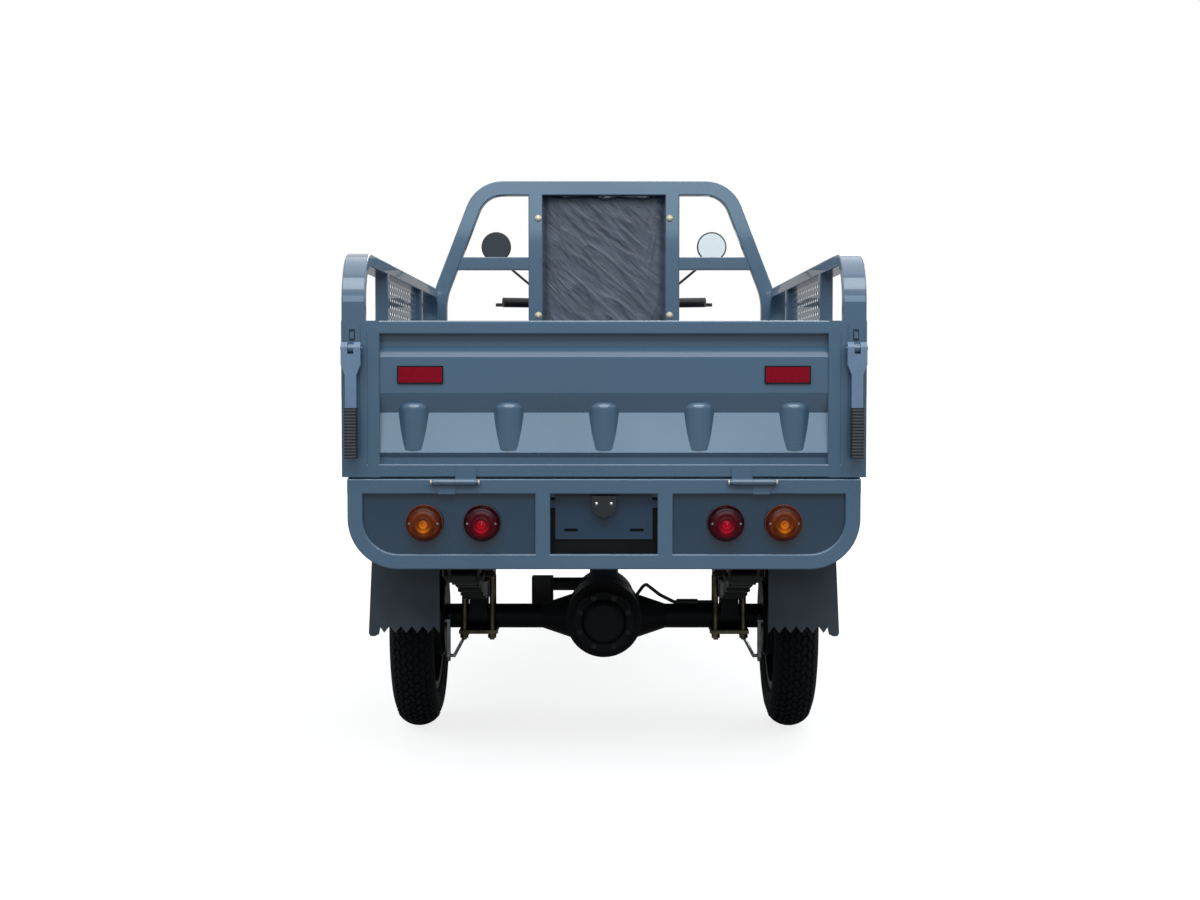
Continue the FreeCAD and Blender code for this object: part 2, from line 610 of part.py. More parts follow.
rear_eye, front_eye = eyes
outer = SHACKLE_IN + SHACKLE_SHEET
bracket = [block(RAIL_X - outer, RAIL_X + outer, front_eye.y - 42, front_eye.y + 42,
                 RAIL_BOTTOM - 6, RAIL_BOTTOM)]
for offset in (-outer, SHACKLE_IN):
    bracket.append(hanger_plate(offset, front_eye.y, 42, front_eye.z - 18, 18))
bracket.append(rod(Vector(RAIL_X - outer - 8, front_eye.y, front_eye.z),
                   Vector(RAIL_X + outer + 8, front_eye.y, front_eye.z), EYE_BORE - SHAFT_FIT))
wide = outer + 1 + SHACKLE_SHEET
hanger = [block(RAIL_X - wide, RAIL_X + wide, rear_eye.y - 40, rear_eye.y + 40, RAIL_BOTTOM - 6, RAIL_BOTTOM)]
for offset in (-wide, outer + 1):
    hanger.append(hanger_plate(offset, rear_eye.y, 40, shackle_top - 16, 16))
hanger.append(rod(Vector(RAIL_X - wide - 6, rear_eye.y, shackle_top),
                  Vector(RAIL_X + wide + 6, rear_eye.y, shackle_top), EYE_BORE - SHAFT_FIT))
shackle = [rod(Vector(RAIL_X - outer - 8, rear_eye.y, rear_eye.z),
               Vector(RAIL_X + outer + 8, rear_eye.y, rear_eye.z), EYE_BORE - SHAFT_FIT)]
for offset in (-outer, SHACKLE_IN):
    x0 = RAIL_X + offset
    shackle.append(block(x0, x0 + SHACKLE_SHEET, rear_eye.y - 13, rear_eye.y + 13, rear_eye.z, shackle_top))
    for z in (rear_eye.z, shackle_top):
        shackle.append(rod(Vector(x0, rear_eye.y, z), Vector(x0 + SHACKLE_SHEET, rear_eye.y, z), 13))
hangers = [fused(bracket), fused(hanger + shackle)]
parts["spring_hangers"] = Part.makeCompound(both(hangers))

# Tailgate: tube frame with end strips, pressed panel, reflectors
slot_low, slot_high = KEEPER_Z - 11.5, KEEPER_Z + 11.5
gate = []
for low in (GATE_BOTTOM, SIDE_TOP - GATE_TUBE):
    gate.append(bar(-GATE_HALF, GATE_HALF, TAIL_Y, TAIL_Y + GATE_TUBE, low, low + GATE_TUBE, X_AXIS))
for side in SIDES:
    gate.append(bar(side * (GATE_HALF - GATE_TUBE), side * GATE_HALF, TAIL_Y, TAIL_Y + GATE_TUBE,
                    GATE_BOTTOM, SIDE_TOP, Z_AXIS))
    strip = block(side * (GATE_HALF - TUBE_CORNER), side * BED_HALF, TAIL_Y + 1, TAIL_Y + 1 + STRIP_SHEET,
                  GATE_BOTTOM, SIDE_TOP)
    strip = strip.cut(block(side * (LATCH_X - 6), side * (LATCH_X + 6), TAIL_Y, TAIL_Y + 10,
                            slot_low, slot_high))
    gate.append(strip)
parts["tailgate_frame"] = fused(gate)
gate_panel = pressed_panel(GATE_HALF - GATE_TUBE, GATE_BOTTOM + GATE_TUBE, SIDE_TOP - GATE_TUBE,
                           TAILGATE_RIBS, TAILGATE_RIB_MARGIN)
gate_panel.translate(Vector(0, TAIL_Y, 0))
parts["tailgate_panel"] = gate_panel
reflectors = [bar(REFLECTOR_X - 45, REFLECTOR_X + 45, TAIL_Y + 1, TAIL_Y + 5, SIDE_TOP - 123, SIDE_TOP - 88,
                  Y_AXIS, 2.0)]
parts["reflectors"] = Part.makeCompound(both(reflectors))

# Tailgate hinges: the upper halves turn on pins held by the lower halves
hinge_axis = Vector(0, HINGE_Y, HINGE_Z)


def at_hinge(x):
    return hinge_axis + X_AXIS * x


leaf_top = HINGE_Z - 0.6
leaf_foot = HINGE_Z - 24
leaf_low = [Vector(HINGE_X + 0.5, TAIL_Y - 3, z) for z in (leaf_top, leaf_foot)]
leaf_low += [Vector(HINGE_X + 33, TAIL_Y - 3, leaf_foot), Vector(HINGE_X + 40.5, TAIL_Y - 3, leaf_top)]
lower_half = fused([rod(at_hinge(HINGE_X + 0.5), at_hinge(HINGE_X + 41), KNUCKLE_RADIUS),
                    prism(leaf_low, Vector(0, 3 + BODY_GAP, 0)),
                    rod(at_hinge(HINGE_X - 47), at_hinge(HINGE_X + 47), HINGE_PIN)])
upper_leaf = block(HINGE_X - 41, HINGE_X - 0.5, TAIL_Y - 3, TAIL_Y, HINGE_Z, HINGE_Z + 31)
upper_half = fused([rod(at_hinge(HINGE_X - 41), at_hinge(HINGE_X - 0.5), KNUCKLE_RADIUS), upper_leaf])
upper_half = upper_half.cut(rod(at_hinge(HINGE_X - 90), at_hinge(HINGE_X + 90), HINGE_PIN + SHAFT_FIT))
parts["hinge_lower"] = Part.makeCompound(both([lower_half]))
parts["hinge_upper"] = Part.makeCompound(both([upper_half]))

# Latches: a base on each end strip and a lever with a rubber grip
base = block(LATCH_X - 15, LATCH_X + 15, TAIL_Y - 2, TAIL_Y + 1, LATCH_Z - 49, LATCH_Z + 46)
base = base.cut(block(LATCH_X - 6, LATCH_X + 6, TAIL_Y - 5, TAIL_Y + 5, slot_low, slot_high))
latch_pivot = Vector(LATCH_X, LATCH_Y, LATCH_Z)
base = fused([base, block(LATCH_X - 5.5, LATCH_X + 5.5, LATCH_Y, TAIL_Y - 2, LATCH_Z - 9, LATCH_Z + 9),
              rod(latch_pivot - X_AXIS * 5.5, latch_pivot + X_AXIS * 5.5, 9),
              rod(latch_pivot - X_AXIS * 21, latch_pivot + X_AXIS * 21, HINGE_PIN)])
parts["latch_bases"] = Part.makeCompound(both([base]))
shield = [Vector(LATCH_X + x, LATCH_Y - 12, LATCH_Z - drop)
          for x, drop in ((-19, 11), (-19, 31), (-11, 53), (-11, LATCH_REACH), (11, LATCH_REACH), (11, 53),
                          (19, 31), (19, 11))]
lever = [prism(shield, Vector(0, 6, 0))]
for side in SIDES:
    near, far = latch_pivot + X_AXIS * (side * 6), latch_pivot + X_AXIS * (side * 19)
    lever.append(rod(near, far, 12))
    lever.append(block(near.x, far.x, LATCH_Y - 12, LATCH_Y + 1, LATCH_Z - 34, LATCH_Z))
lever = fused(lever).cut(rod(latch_pivot - X_AXIS * 30, latch_pivot + X_AXIS * 30, HINGE_PIN + SHAFT_FIT))
grip = bar(LATCH_X - 13, LATCH_X + 13, TAIL_Y - LATCH_PROJECTION, LATCH_Y - 3, LATCH_Z - LATCH_REACH - 98,
           LATCH_Z - LATCH_REACH, Z_AXIS, 6.0)
parts["latch_lever_right"] = Part.makeCompound([lever, grip])
parts["latch_lever_left"] = mirrored(parts["latch_lever_right"])

# Rear axle housing
bore_tool = rod(axle_point(-400), axle_point(400), HALF_SHAFT + SHAFT_FIT)
body = rod(axle_point(0, -68), axle_point(0, 68), 85.0)
bosses = fused([body, rod(axle_point(0, -98), axle_point(0, -60), 67.0),
                rod(axle_point(0, 60), axle_point(0, 88), 60.0)])
housing = [bosses]
for side in SIDES:
    housing.append(Part.makeCone(58.0, TUBE_RADIUS, 90, axle_point(side * 50), X_AXIS * side))
    housing.append(rod(axle_point(side * 60), axle_point(side * HOUSING_END), TUBE_RADIUS))
    housing.append(block(side * (RAIL_X - 23), side * (RAIL_X + 23), AXLE_Y - 44, AXLE_Y + 44,
                         SPRING_SEAT - 9, SPRING_SEAT - 0.3))
    for y in (-30, 30):
        web = block(side * (RAIL_X - 20), side * (RAIL_X + 20), AXLE_Y + y - 5, AXLE_Y + y + 5,
                    246, SPRING_SEAT - 8)
        housing.append(web)
housing = fused(housing)
housing = housing.cut(rod(axle_point(0, -60), axle_point(0, 60), 77.0))
housing = housing.cut(rod(axle_point(0, -99), axle_point(0, 0), 50.0))
housing = housing.cut(rod(axle_point(0, 0), axle_point(0, 89), 38.0))
housing = housing.cut(rod(axle_point(-330), axle_point(330), TUBE_BORE)).cut(bore_tool)
pinion_bearing = sleeve(axle_point(0, 64), axle_point(0, 84), 38.0, MOTOR_SHAFT + SHAFT_FIT)
parts["axle_housing"] = fused([housing, pinion_bearing])
parts["diff_cover"] = turned([(98, 0), (98, 66.5), (108, 66.5), (108, 50), (120, 45), (123, 40), (123, 0)],
                             axle_point(0), -Y_AXIS, Z_AXIS)

# Crown wheel with the differential carrier, and the motor rotor with its bevel pinion
carrier = [(-100, TUBE_BORE - SHAFT_FIT), (-62, TUBE_BORE - SHAFT_FIT), (-62, 34),
           (34 / GEAR_RATIO + GEAR_GAP, 34), (57 / GEAR_RATIO + GEAR_GAP, 57),
           (26, 57), (26, 34), (62, 34), (62, TUBE_BORE - SHAFT_FIT),
           (100, TUBE_BORE - SHAFT_FIT), (100, HALF_SHAFT + SHAFT_FIT), (-100, HALF_SHAFT + SHAFT_FIT)]
parts["ring_gear"] = turned(carrier, axle_point(0), X_AXIS, Z_AXIS)
rotor = [(38, 0), (38, 38 / GEAR_RATIO), (57, 57 / GEAR_RATIO), (57, MOTOR_SHAFT), (135, MOTOR_SHAFT),
         (135, 45), (245, 45), (245, MOTOR_SHAFT), (292, MOTOR_SHAFT), (292, 0)]
parts["motor_rotor"] = turned(rotor, axle_point(0), Y_AXIS, Z_AXIS)
case = [(MOTOR_BACK, MOTOR_SHAFT + SHAFT_FIT), (MOTOR_BACK, 62), (96, MOTOR_RADIUS), (288, MOTOR_RADIUS),
        (MOTOR_FRONT, 66), (MOTOR_FRONT, 0), (293, 0), (293, MOTOR_SHAFT + SHAFT_FIT),
        (280, MOTOR_SHAFT + SHAFT_FIT), (280, 68), (100, 68), (100, MOTOR_SHAFT + SHAFT_FIT)]
stator = [(135, 45.6), (135, 68), (245, 68), (245, 45.6)]
motor = [turned(case, axle_point(0), Y_AXIS, Z_AXIS), turned(stator, axle_point(0), Y_AXIS, Z_AXIS)]
motor_outer = rod(axle_point(0, MOTOR_BACK), axle_point(0, MOTOR_FRONT), MOTOR_RADIUS)
parts["motor_case"] = fused(motor)

# U bolts with their plates and nuts
clamps = []
bolt_top = main_top + U_BOLT + 1.0
plate_top = AXLE_Z - TUBE_RADIUS
for y in (-U_BOLT_Y, U_BOLT_Y):
    low, high = plate_top - 22, bolt_top
    legs = [Vector(RAIL_X - U_BOLT_X, AXLE_Y + y, low), Vector(RAIL_X - U_BOLT_X, AXLE_Y + y, high),
            Vector(RAIL_X + U_BOLT_X, AXLE_Y + y, high), Vector(RAIL_X + U_BOLT_X, AXLE_Y + y, low)]
    bolt = [bent_rod(legs, [6.0, 6.0], U_BOLT)]
    for x in (-U_BOLT_X, U_BOLT_X):
        foot = Vector(RAIL_X + x, AXLE_Y + y, plate_top - 8)
        bolt.append(rod(foot, foot - Z_AXIS * 10, 9.5))
    clamps += bolt
clamps.append(block(RAIL_X - 43, RAIL_X + 43, AXLE_Y - 48, AXLE_Y + 48, plate_top - 8, plate_top))
parts["u_bolts"] = Part.makeCompound(both([fused(clamps)]))

# Brake plates with their shoes, and the cam arms
backing = turned([(HOUSING_END, HALF_SHAFT + 2), (HOUSING_END, PLATE_RADIUS), (HOUSING_END + 4, PLATE_RADIUS),
                  (HOUSING_END + 4, HALF_SHAFT + 2)], axle_point(0), X_AXIS, Z_AXIS)
shoes = turned([(HOUSING_END + 4, 66), (HOUSING_END + 4, DRUM_BORE - BODY_GAP),
                (400, DRUM_BORE - BODY_GAP), (400, 66)],
               axle_point(0), X_AXIS, Z_AXIS)
shoes = shoes.cut(block(HOUSING_END + 6, 410, AXLE_Y - 100, AXLE_Y, AXLE_Z - 19, AXLE_Z + 13))
shoes = shoes.cut(block(HOUSING_END + 6, 410, AXLE_Y, AXLE_Y + 100, AXLE_Z - 4, AXLE_Z + 4))
cam_hole = rod(Vector(300, CAM_Y, CAM_Z), Vector(420, CAM_Y, CAM_Z), CAM_RADIUS + SHAFT_FIT)
brake_side = fused([backing, shoes]).cut(cam_hole)
parts["brake_plates"] = Part.makeCompound(both([brake_side]))
arm = [rod(Vector(345, CAM_Y, CAM_Z), Vector(394, CAM_Y, CAM_Z), CAM_RADIUS),
       rod(Vector(346, CAM_Y, CAM_Z), Vector(352, CAM_Y, CAM_Z), 12),
       rod(Vector(346, CAM_Y, ROD_Z), Vector(352, CAM_Y, ROD_Z), 13),
       prism([Vector(346, CAM_Y - 11, CAM_Z), Vector(346, CAM_Y - 12, ROD_Z), Vector(346, CAM_Y + 12, ROD_Z),
              Vector(346, CAM_Y + 11, CAM_Z)], Vector(6, 0, 0))]
rod_slot = ROD_RADIUS + ROD_SLOT_GAP
arm = fused(arm).cut(block(340, 360, CAM_Y - rod_slot, CAM_Y + rod_slot, ROD_Z - 8, ROD_Z + 6))
parts["brake_arm_right"] = arm
parts["brake_arm_left"] = mirrored(arm)

# Brake rods, their equaliser bar and the pull rod
pulls = []
for side in SIDES:
    pulls.append(rod(Vector(side * ROD_X, CAM_Y - ROD_RADIUS, ROD_Z),
                     Vector(side * ROD_X, EQUALISER_Y, ROD_Z), ROD_RADIUS))
    pulls.append(rod(Vector(side * ROD_X, CAM_Y, ROD_Z), Vector(side * 355, CAM_Y, ROD_Z), ROD_RADIUS))
pulls.append(bar(-ROD_X - 8, ROD_X + 8, EQUALISER_Y - 4, EQUALISER_Y + 4, ROD_Z - 9, ROD_Z + 9, X_AXIS, 2.0))
pulls.append(rod(Vector(0, EQUALISER_Y, ROD_Z), Vector(0, EQUALISER_Y + 420, ROD_Z), ROD_RADIUS))
parts["brake_rods"] = fused(pulls)

# Range shifter beside the motor and the cables along the axle
shift_y = AXLE_Y + 140.0
shifter = [bar(-170, -120, shift_y - 26, shift_y + 26, 250, 322, Z_AXIS, 5.0),
           rod(Vector(-121, shift_y, 304), Vector(-20, shift_y, 304), 15.5)]
parts["range_shifter"] = fused(shifter).cut(motor_outer)
cable_z = AXLE_Z + TUBE_RADIUS + 4.0
cables = [bent_rod([Vector(60, AXLE_Y + 84, 262), Vector(96, AXLE_Y + 84, 312),
                    Vector(128, AXLE_Y, cable_z + 16), Vector(160, AXLE_Y, cable_z),
                    Vector(250, AXLE_Y, cable_z)], [14.0, 14.0, 14.0], 4.0)]
cables.append(rod(Vector(166, AXLE_Y, cable_z), Vector(214, AXLE_Y, cable_z), 7.0))
parts["axle_cables"] = fused(cables).cut(parts["axle_housing"]).cut(motor_outer)


# Wheels and tyres, as profiles turned about the axle
def tyre_shape(centre):
    outer = [(34.5, RIM_RADIUS), (34.5, 167), (42, 176), (47, 189), (TYRE_WIDTH / 2, 202), (47, 216),
             (43, 229), (36, 238), (24, 244.5), (17, 246.5), (16, 241.5), (12, 241.7), (11, 247.5),
             (0, TYRE_RADIUS)]
    inner = [(0, 236), (20, 233), (33, 224), (39, 211), (40, 200), (37, 187), (29, 173), (26, RIM_RADIUS)]
    left_outer = [(-across, radius) for across, radius in outer[-2::-1]]
    left_inner = [(-across, radius) for across, radius in inner[:0:-1]]
    return turned(outer + left_outer + left_inner + inner, centre, X_AXIS, Z_AXIS)


def rim_shape(centre):
    low, top = RIM_RADIUS - RIM_SHEET, 166.0
    inside = RIM_HALF - RIM_SHEET
    return turned([(-RIM_HALF, low), (RIM_HALF, low), (RIM_HALF, top), (inside, top), (inside, RIM_RADIUS),
                   (-inside, RIM_RADIUS), (-inside, top), (-RIM_HALF, top)], centre, X_AXIS, Z_AXIS)


def disc_shape(centre, near, far):
    disc = turned([(near, 18), (near, RIM_RADIUS - 1), (far, RIM_RADIUS - 1), (far, 18)],
                  centre, X_AXIS, Z_AXIS)
    for index in range(6):
        angle = math.radians(60 * index)
        hole = centre + Vector(0, math.cos(angle), math.sin(angle)) * 119
        disc = disc.cut(rod(hole + X_AXIS * (near - 5), hole + X_AXIS * (far + 5), 15))
    return disc


wheel_centre = axle_point(WHEEL_X)
drum = [(DRUM_IN, DRUM_BORE), (DRUM_IN, DRUM_BORE + 8), (DRUM_OUT + 2, DRUM_BORE + 8), (DRUM_OUT + 2, 15),
        (DRUM_OUT, 15), (DRUM_OUT, DRUM_BORE)]
shaft = [(30, 0), (30, HALF_SHAFT), (DRUM_OUT - 6, HALF_SHAFT), (DRUM_OUT - 6, 26), (428, 26), (428, 15),
         (442, 15), (446, 11), (446, 0)]
wheel = fused([rim_shape(wheel_centre),
               disc_shape(wheel_centre, DRUM_OUT + 1 - WHEEL_X, DRUM_OUT + 7 - WHEEL_X),
               turned(drum, axle_point(0), X_AXIS, Z_AXIS), turned(shaft, axle_point(0), X_AXIS, Z_AXIS)])
parts["rear_wheel_right"] = wheel
parts["rear_wheel_left"] = mirrored(wheel)
parts["rear_tyre_right"] = tyre_shape(wheel_centre)
parts["rear_tyre_left"] = mirrored(parts["rear_tyre_right"])

# Front wheel with its drum
front_centre = Vector(0, FRONT_AXLE_Y, AXLE_Z)
hub = [(-34, FRONT_AXLE + SHAFT_FIT), (-34, 24), (-8, 24), (-8, 62), (-40, 62), (-40, 70), (4, 70), (4, 26),
       (50, 24), (50, FRONT_AXLE + SHAFT_FIT)]
parts["front_wheel"] = fused([rim_shape(front_centre), disc_shape(front_centre, -2, 4),
                              turned(hub, front_centre, X_AXIS, Z_AXIS)])
parts["front_tyre"] = tyre_shape(front_centre)

# Fork: yokes, stem and stanchions
stem_line = (fork_point(0, LOWER_YOKE, STEER_OFFSET), fork_point(0, UPPER_YOKE + YOKE_DEPTH, STEER_OFFSET))
fork = [rod(stem_line[0], stem_line[1], STEM_RADIUS)]
for low in (LOWER_YOKE, UPPER_YOKE):
    flat = [fork_point(x, low, ahead) for x, ahead in ((-LEG_X, -22), (-30, -58), (30, -58), (LEG_X, -22),
                                                       (LEG_X, 22), (-LEG_X, 22))]
    fork.append(prism(flat, UP * YOKE_DEPTH))
    for side in SIDES:
        fork.append(rod(fork_point(side * LEG_X, low, 0), fork_point(side * LEG_X, low + YOKE_DEPTH, 0), 25))
for side in SIDES:
    fork.append(rod(fork_point(side * LEG_X, STANCHION_FOOT, 0),
                    fork_point(side * LEG_X, UPPER_YOKE + YOKE_DEPTH, 0),
                    STANCHION))
parts["fork_upper"] = fused(fork)

# Fork sliders with the front axle and the front brake plate
sliders = []
slider_bores = []
for side in SIDES:
    x = side * LEG_X
    sliders.append(rod(fork_point(x, -28, 0), fork_point(x, SLIDER_TOP, 0), SLIDER))
    slider_bores.append(rod(fork_point(x, 30, 0), fork_point(x, SLIDER_TOP + 1, 0), STANCHION + SHAFT_FIT))
slider_outer = fused(sliders)
plate = [(-62, FRONT_AXLE - 1), (-62, 20), (-48, 20), (-48, 69), (-44, 69), (-44, FRONT_AXLE - 1)]
sliders.append(turned(plate, front_centre, X_AXIS, Z_AXIS))
sliders.append(rod(front_centre - X_AXIS * 70, front_centre - X_AXIS * 55, 18))
sliders.append(rod(front_centre - X_AXIS * 116, front_centre + X_AXIS * 116, FRONT_AXLE))
sliders.append(rod(front_centre + X_AXIS * 54, front_centre + X_AXIS * 70, 14))
for side in SIDES:
    sliders.append(rod(front_centre + X_AXIS * (side * 105), front_centre + X_AXIS * (side * 114), 12))
parts["fork_sliders"] = fused(sliders).cut(fused(slider_bores))

# Front fender: a rounded channel over the tyre, fixed to the sliders
fender_top = FENDER_RADIUS + FENDER_SHEET
lip = FENDER_RADIUS - 28
profile = [(-FENDER_HALF, lip), (-FENDER_HALF, FENDER_RADIUS - 9), (-FENDER_HALF + 14, fender_top),
           (FENDER_HALF - 14, fender_top), (FENDER_HALF, FENDER_RADIUS - 9), (FENDER_HALF, lip),
           (FENDER_HALF - 3, lip), (FENDER_HALF - 3, FENDER_RADIUS - 10), (FENDER_HALF - 16, FENDER_RADIUS),
           (16 - FENDER_HALF, FENDER_RADIUS), (3 - FENDER_HALF, FENDER_RADIUS - 10), (3 - FENDER_HALF, lip)]
start_angle, end_angle = math.radians(28.0), math.radians(152.0)
radial = Vector(0, math.cos(start_angle), math.sin(start_angle))
points = [front_centre + X_AXIS * along + radial * radius for along, radius in profile]
fender_face = Part.Face(Part.makePolygon(points + [points[0]]))
fender = [fender_face.revolve(front_centre, X_AXIS, math.degrees(end_angle - start_angle))]
for side in SIDES:
    along = (lip + FENDER_RADIUS - 9) / 2
    boss = rod(fork_point(side * (FENDER_HALF - 2), along, 0), fork_point(side * (LEG_X - 8), along, 0), 7)
    fender.append(boss.cut(slider_outer))
parts["front_fender"] = fused(fender)

# Handlebar: risers, bent bar, left grip, switch housings and mirror stems
bar_centre = fork_point(0, BAR_RISE, STEER_OFFSET)
bar_end = Vector(BAR_HALF, bar_centre.y - BAR_SWEEP, bar_centre.z + BAR_LIFT)
bar_elbow = Vector(BAR_HALF - 132, bar_centre.y - 0.6 * BAR_SWEEP, bar_centre.z + BAR_LIFT)
bar_clamp = Vector(85, bar_centre.y, bar_centre.z)
grip_line = (bar_elbow - bar_end).normalize()
bar_points = [bar_end, bar_elbow, bar_clamp]
bar_points += [Vector(-point.x, point.y, point.z) for point in reversed(bar_points)]
handlebar = [bent_rod(bar_points, [35.0, 35.0, 35.0, 35.0], BAR_RADIUS)]
for side in SIDES:
    foot = fork_point(side * 44, UPPER_YOKE + YOKE_DEPTH, STEER_OFFSET)
    top = fork_point(side * 44, BAR_RISE, STEER_OFFSET)
    handlebar.append(rod(foot, top, 12))
    handlebar.append(rod(top - X_AXIS * 14, top + X_AXIS * 14, 19))
housing_start = bar_end + grip_line * (GRIP_LENGTH + 3)
housing_end = bar_end + grip_line * (GRIP_LENGTH + 37)
perch = Vector(housing_end.x + 10, housing_end.y + 30, bar_end.z - 5)
stem_foot = bar_end + grip_line * (GRIP_LENGTH + 14)
mirror_pin = Vector(MIRROR_X, stem_foot.y + 4, bar_end.z + MIRROR_LIFT)
stem_points = [stem_foot, stem_foot + Vector(4, 0, 54), mirror_pin - Z_AXIS * 30, mirror_pin + Z_AXIS * 8]
for side in SIDES:
    flip = (lambda shape: shape) if side > 0 else mirrored
    handlebar.append(flip(rod(housing_start, housing_end, 19)))
    handlebar.append(flip(bent_rod(stem_points, [20.0, 20.0], MIRROR_PIN)))
    handlebar.append(flip(rod(stem_foot, stem_foot + Z_AXIS * 31, 8)))
    for low in (-12.0, 6.5):
        ear = [rod(perch + Z_AXIS * low, perch + Z_AXIS * (low + 5.5), 9),
               block(perch.x - 9, perch.x + 9, perch.y - 26, perch.y, perch.z + low, perch.z + low + 5.5)]
        handlebar.append(flip(fused(ear)))
    handlebar.append(flip(rod(perch - Z_AXIS * 14, perch + Z_AXIS * 14, LEVER_PIN)))
handlebar.append(mirrored(rod(bar_end, bar_end + grip_line * GRIP_LENGTH, GRIP_RADIUS)))
parts["handlebar"] = fused(handlebar)
parts["throttle_grip"] = sleeve(bar_end - grip_line * 1, bar_end + grip_line * GRIP_LENGTH,
                                GRIP_RADIUS, BAR_RADIUS + SHAFT_FIT)

# Brake levers on upright pins
blade_low = perch - Z_AXIS * 5.5
blade = [(-7, 6), (6, -7), (30, -3), (80, 0), (126, 2), (134, 8), (127, 14), (80, 13), (30, 12), (4, 9)]
lever = fused([prism([blade_low + Vector(x, y, 0) for x, y in blade], Z_AXIS * 11),
               rod(blade_low, blade_low + Z_AXIS * 11, 8.5)])
lever = lever.cut(rod(perch - Z_AXIS * 20, perch + Z_AXIS * 20, LEVER_PIN + SHAFT_FIT))
parts["lever_right"] = lever
parts["lever_left"] = mirrored(lever)

# Round mirrors that turn on the ends of their stems
face_centre = mirror_pin - Y_AXIS * 12
dish = [(0, 0), (0, MIRROR_RADIUS - 3), (3, MIRROR_RADIUS), (8, MIRROR_RADIUS - 2), (14, 30), (16, 0)]
knuckle_low, knuckle_high = mirror_pin - Z_AXIS * 8, mirror_pin + Z_AXIS * 12
mirror = [turned(dish, face_centre - Y_AXIS * 16, Y_AXIS, Z_AXIS), rod(knuckle_low, knuckle_high, 8),
          block(MIRROR_X - 5, MIRROR_X + 5, face_centre.y - 3, mirror_pin.y, knuckle_low.z, knuckle_high.z)]
mirror = fused(mirror).cut(rod(mirror_pin - Z_AXIS * 20, mirror_pin + Z_AXIS * 8.5, MIRROR_PIN + SHAFT_FIT))
parts["mirror_right"] = mirror
parts["mirror_left"] = mirrored(mirror)

# Headlamp on a flat bar across the two stanchions
bracket_at = 655.0
lamp_centre = fork_point(0, bracket_at, 20) + Vector(0, 30, -4)
bowl = [(0, 0), (0, 34), (14, 58), (38, 72), (52, 75), (62, 75), (62, 70), (66, 40), (67, 0)]
crossbar = [fork_point(x, bracket_at - 18, ahead)
            for x, ahead in ((-104, 16.2), (104, 16.2), (104, 22), (-104, 22))]
stalk = rod(fork_point(0, bracket_at, 20), lamp_centre + Y_AXIS * 8, 13)
parts["headlamp"] = fused([turned(bowl, lamp_centre, Y_AXIS, Z_AXIS), prism(crossbar, UP * 36), stalk])

# Battery box, open at the top, with two hinge lugs and the seat pin
box = block(-BOX_HALF, BOX_HALF, bed_y(BOX_REAR), bed_y(BOX_FRONT), CAB_RAIL_TOP, BOX_TOP)
box = box.cut(block(BOX_SHEET - BOX_HALF, BOX_HALF - BOX_SHEET, bed_y(BOX_REAR) + BOX_SHEET,
                    bed_y(BOX_FRONT) - BOX_SHEET, CAB_RAIL_TOP + BOX_SHEET, BOX_TOP + 1))
seat_axis = Vector(0, bed_y(SEAT_PIN_Y), SEAT_PIN_Z)
box_shapes = [box]
for side in SIDES:
    near, far = seat_axis + X_AXIS * (side * 150), seat_axis + X_AXIS * (side * 170)
    box_shapes.append(rod(near, far, 9))
    box_shapes.append(block(near.x, far.x, bed_y(BOX_FRONT) - 1, seat_axis.y + 6,
                            SEAT_PIN_Z - 30, SEAT_PIN_Z))
    box_shapes.append(rod(near, seat_axis + X_AXIS * (side * 194), HINGE_PIN))
parts["battery_box"] = fused(box_shapes)
pack = []
floor_of_box = CAB_RAIL_TOP + BOX_SHEET
for index in range(5):
    x = -215 + index * 86
    pack.append(bar(x, x + 80, bed_y(BOX_REAR + 20), bed_y(BOX_REAR + 201),
                    floor_of_box, floor_of_box + 170, Z_AXIS))
pack.append(bar(-90, 90, bed_y(BOX_REAR + 225), bed_y(BOX_REAR + 300),
                floor_of_box, floor_of_box + 130, Z_AXIS))
parts["battery_pack"] = Part.makeCompound(pack)

# Seat: a cushion on a pan, hinged at its front edge
seat_low = BOX_TOP + SEAT_GAP
seat_place = FreeCAD.Placement(Vector(0, bed_y((BOX_REAR + BOX_FRONT) / 2) - 4, seat_low), FreeCAD.Rotation())
seat_levels = ((0.0, 6.0), (12.0, 0.0), (36.0, 1.0), (50.0, 12.0), (57.0, 40.0), (SEAT_THICKNESS, 80.0))
seat = [cushion(seat_levels, 250.0, 165.0, 40.0, seat_place)]
for side in SIDES:
    near, far = seat_axis + X_AXIS * (side * 171), seat_axis + X_AXIS * (side * 190)
    seat.append(rod(near, far, 9))
    seat.append(block(near.x, far.x, bed_y(BOX_FRONT) - 30, seat_axis.y, seat_low + 4, seat_axis.z + 9))
seat = fused(seat).cut(rod(seat_axis - X_AXIS * 200, seat_axis + X_AXIS * 200, HINGE_PIN + SHAFT_FIT))
lug_room = block(-170.6, 170.6, bed_y(BOX_FRONT) - 6, bed_y(BOX_FRONT) + 40, seat_low - 10, SEAT_PIN_Z + 10)
lug_room = lug_room.cut(block(-149.4, 149.4, bed_y(BOX_FRONT) - 9, bed_y(BOX_FRONT) + 50,
                              BOX_TOP - 40, BOX_TOP + 60))
parts["seat_cushion"] = seat.cut(lug_room)

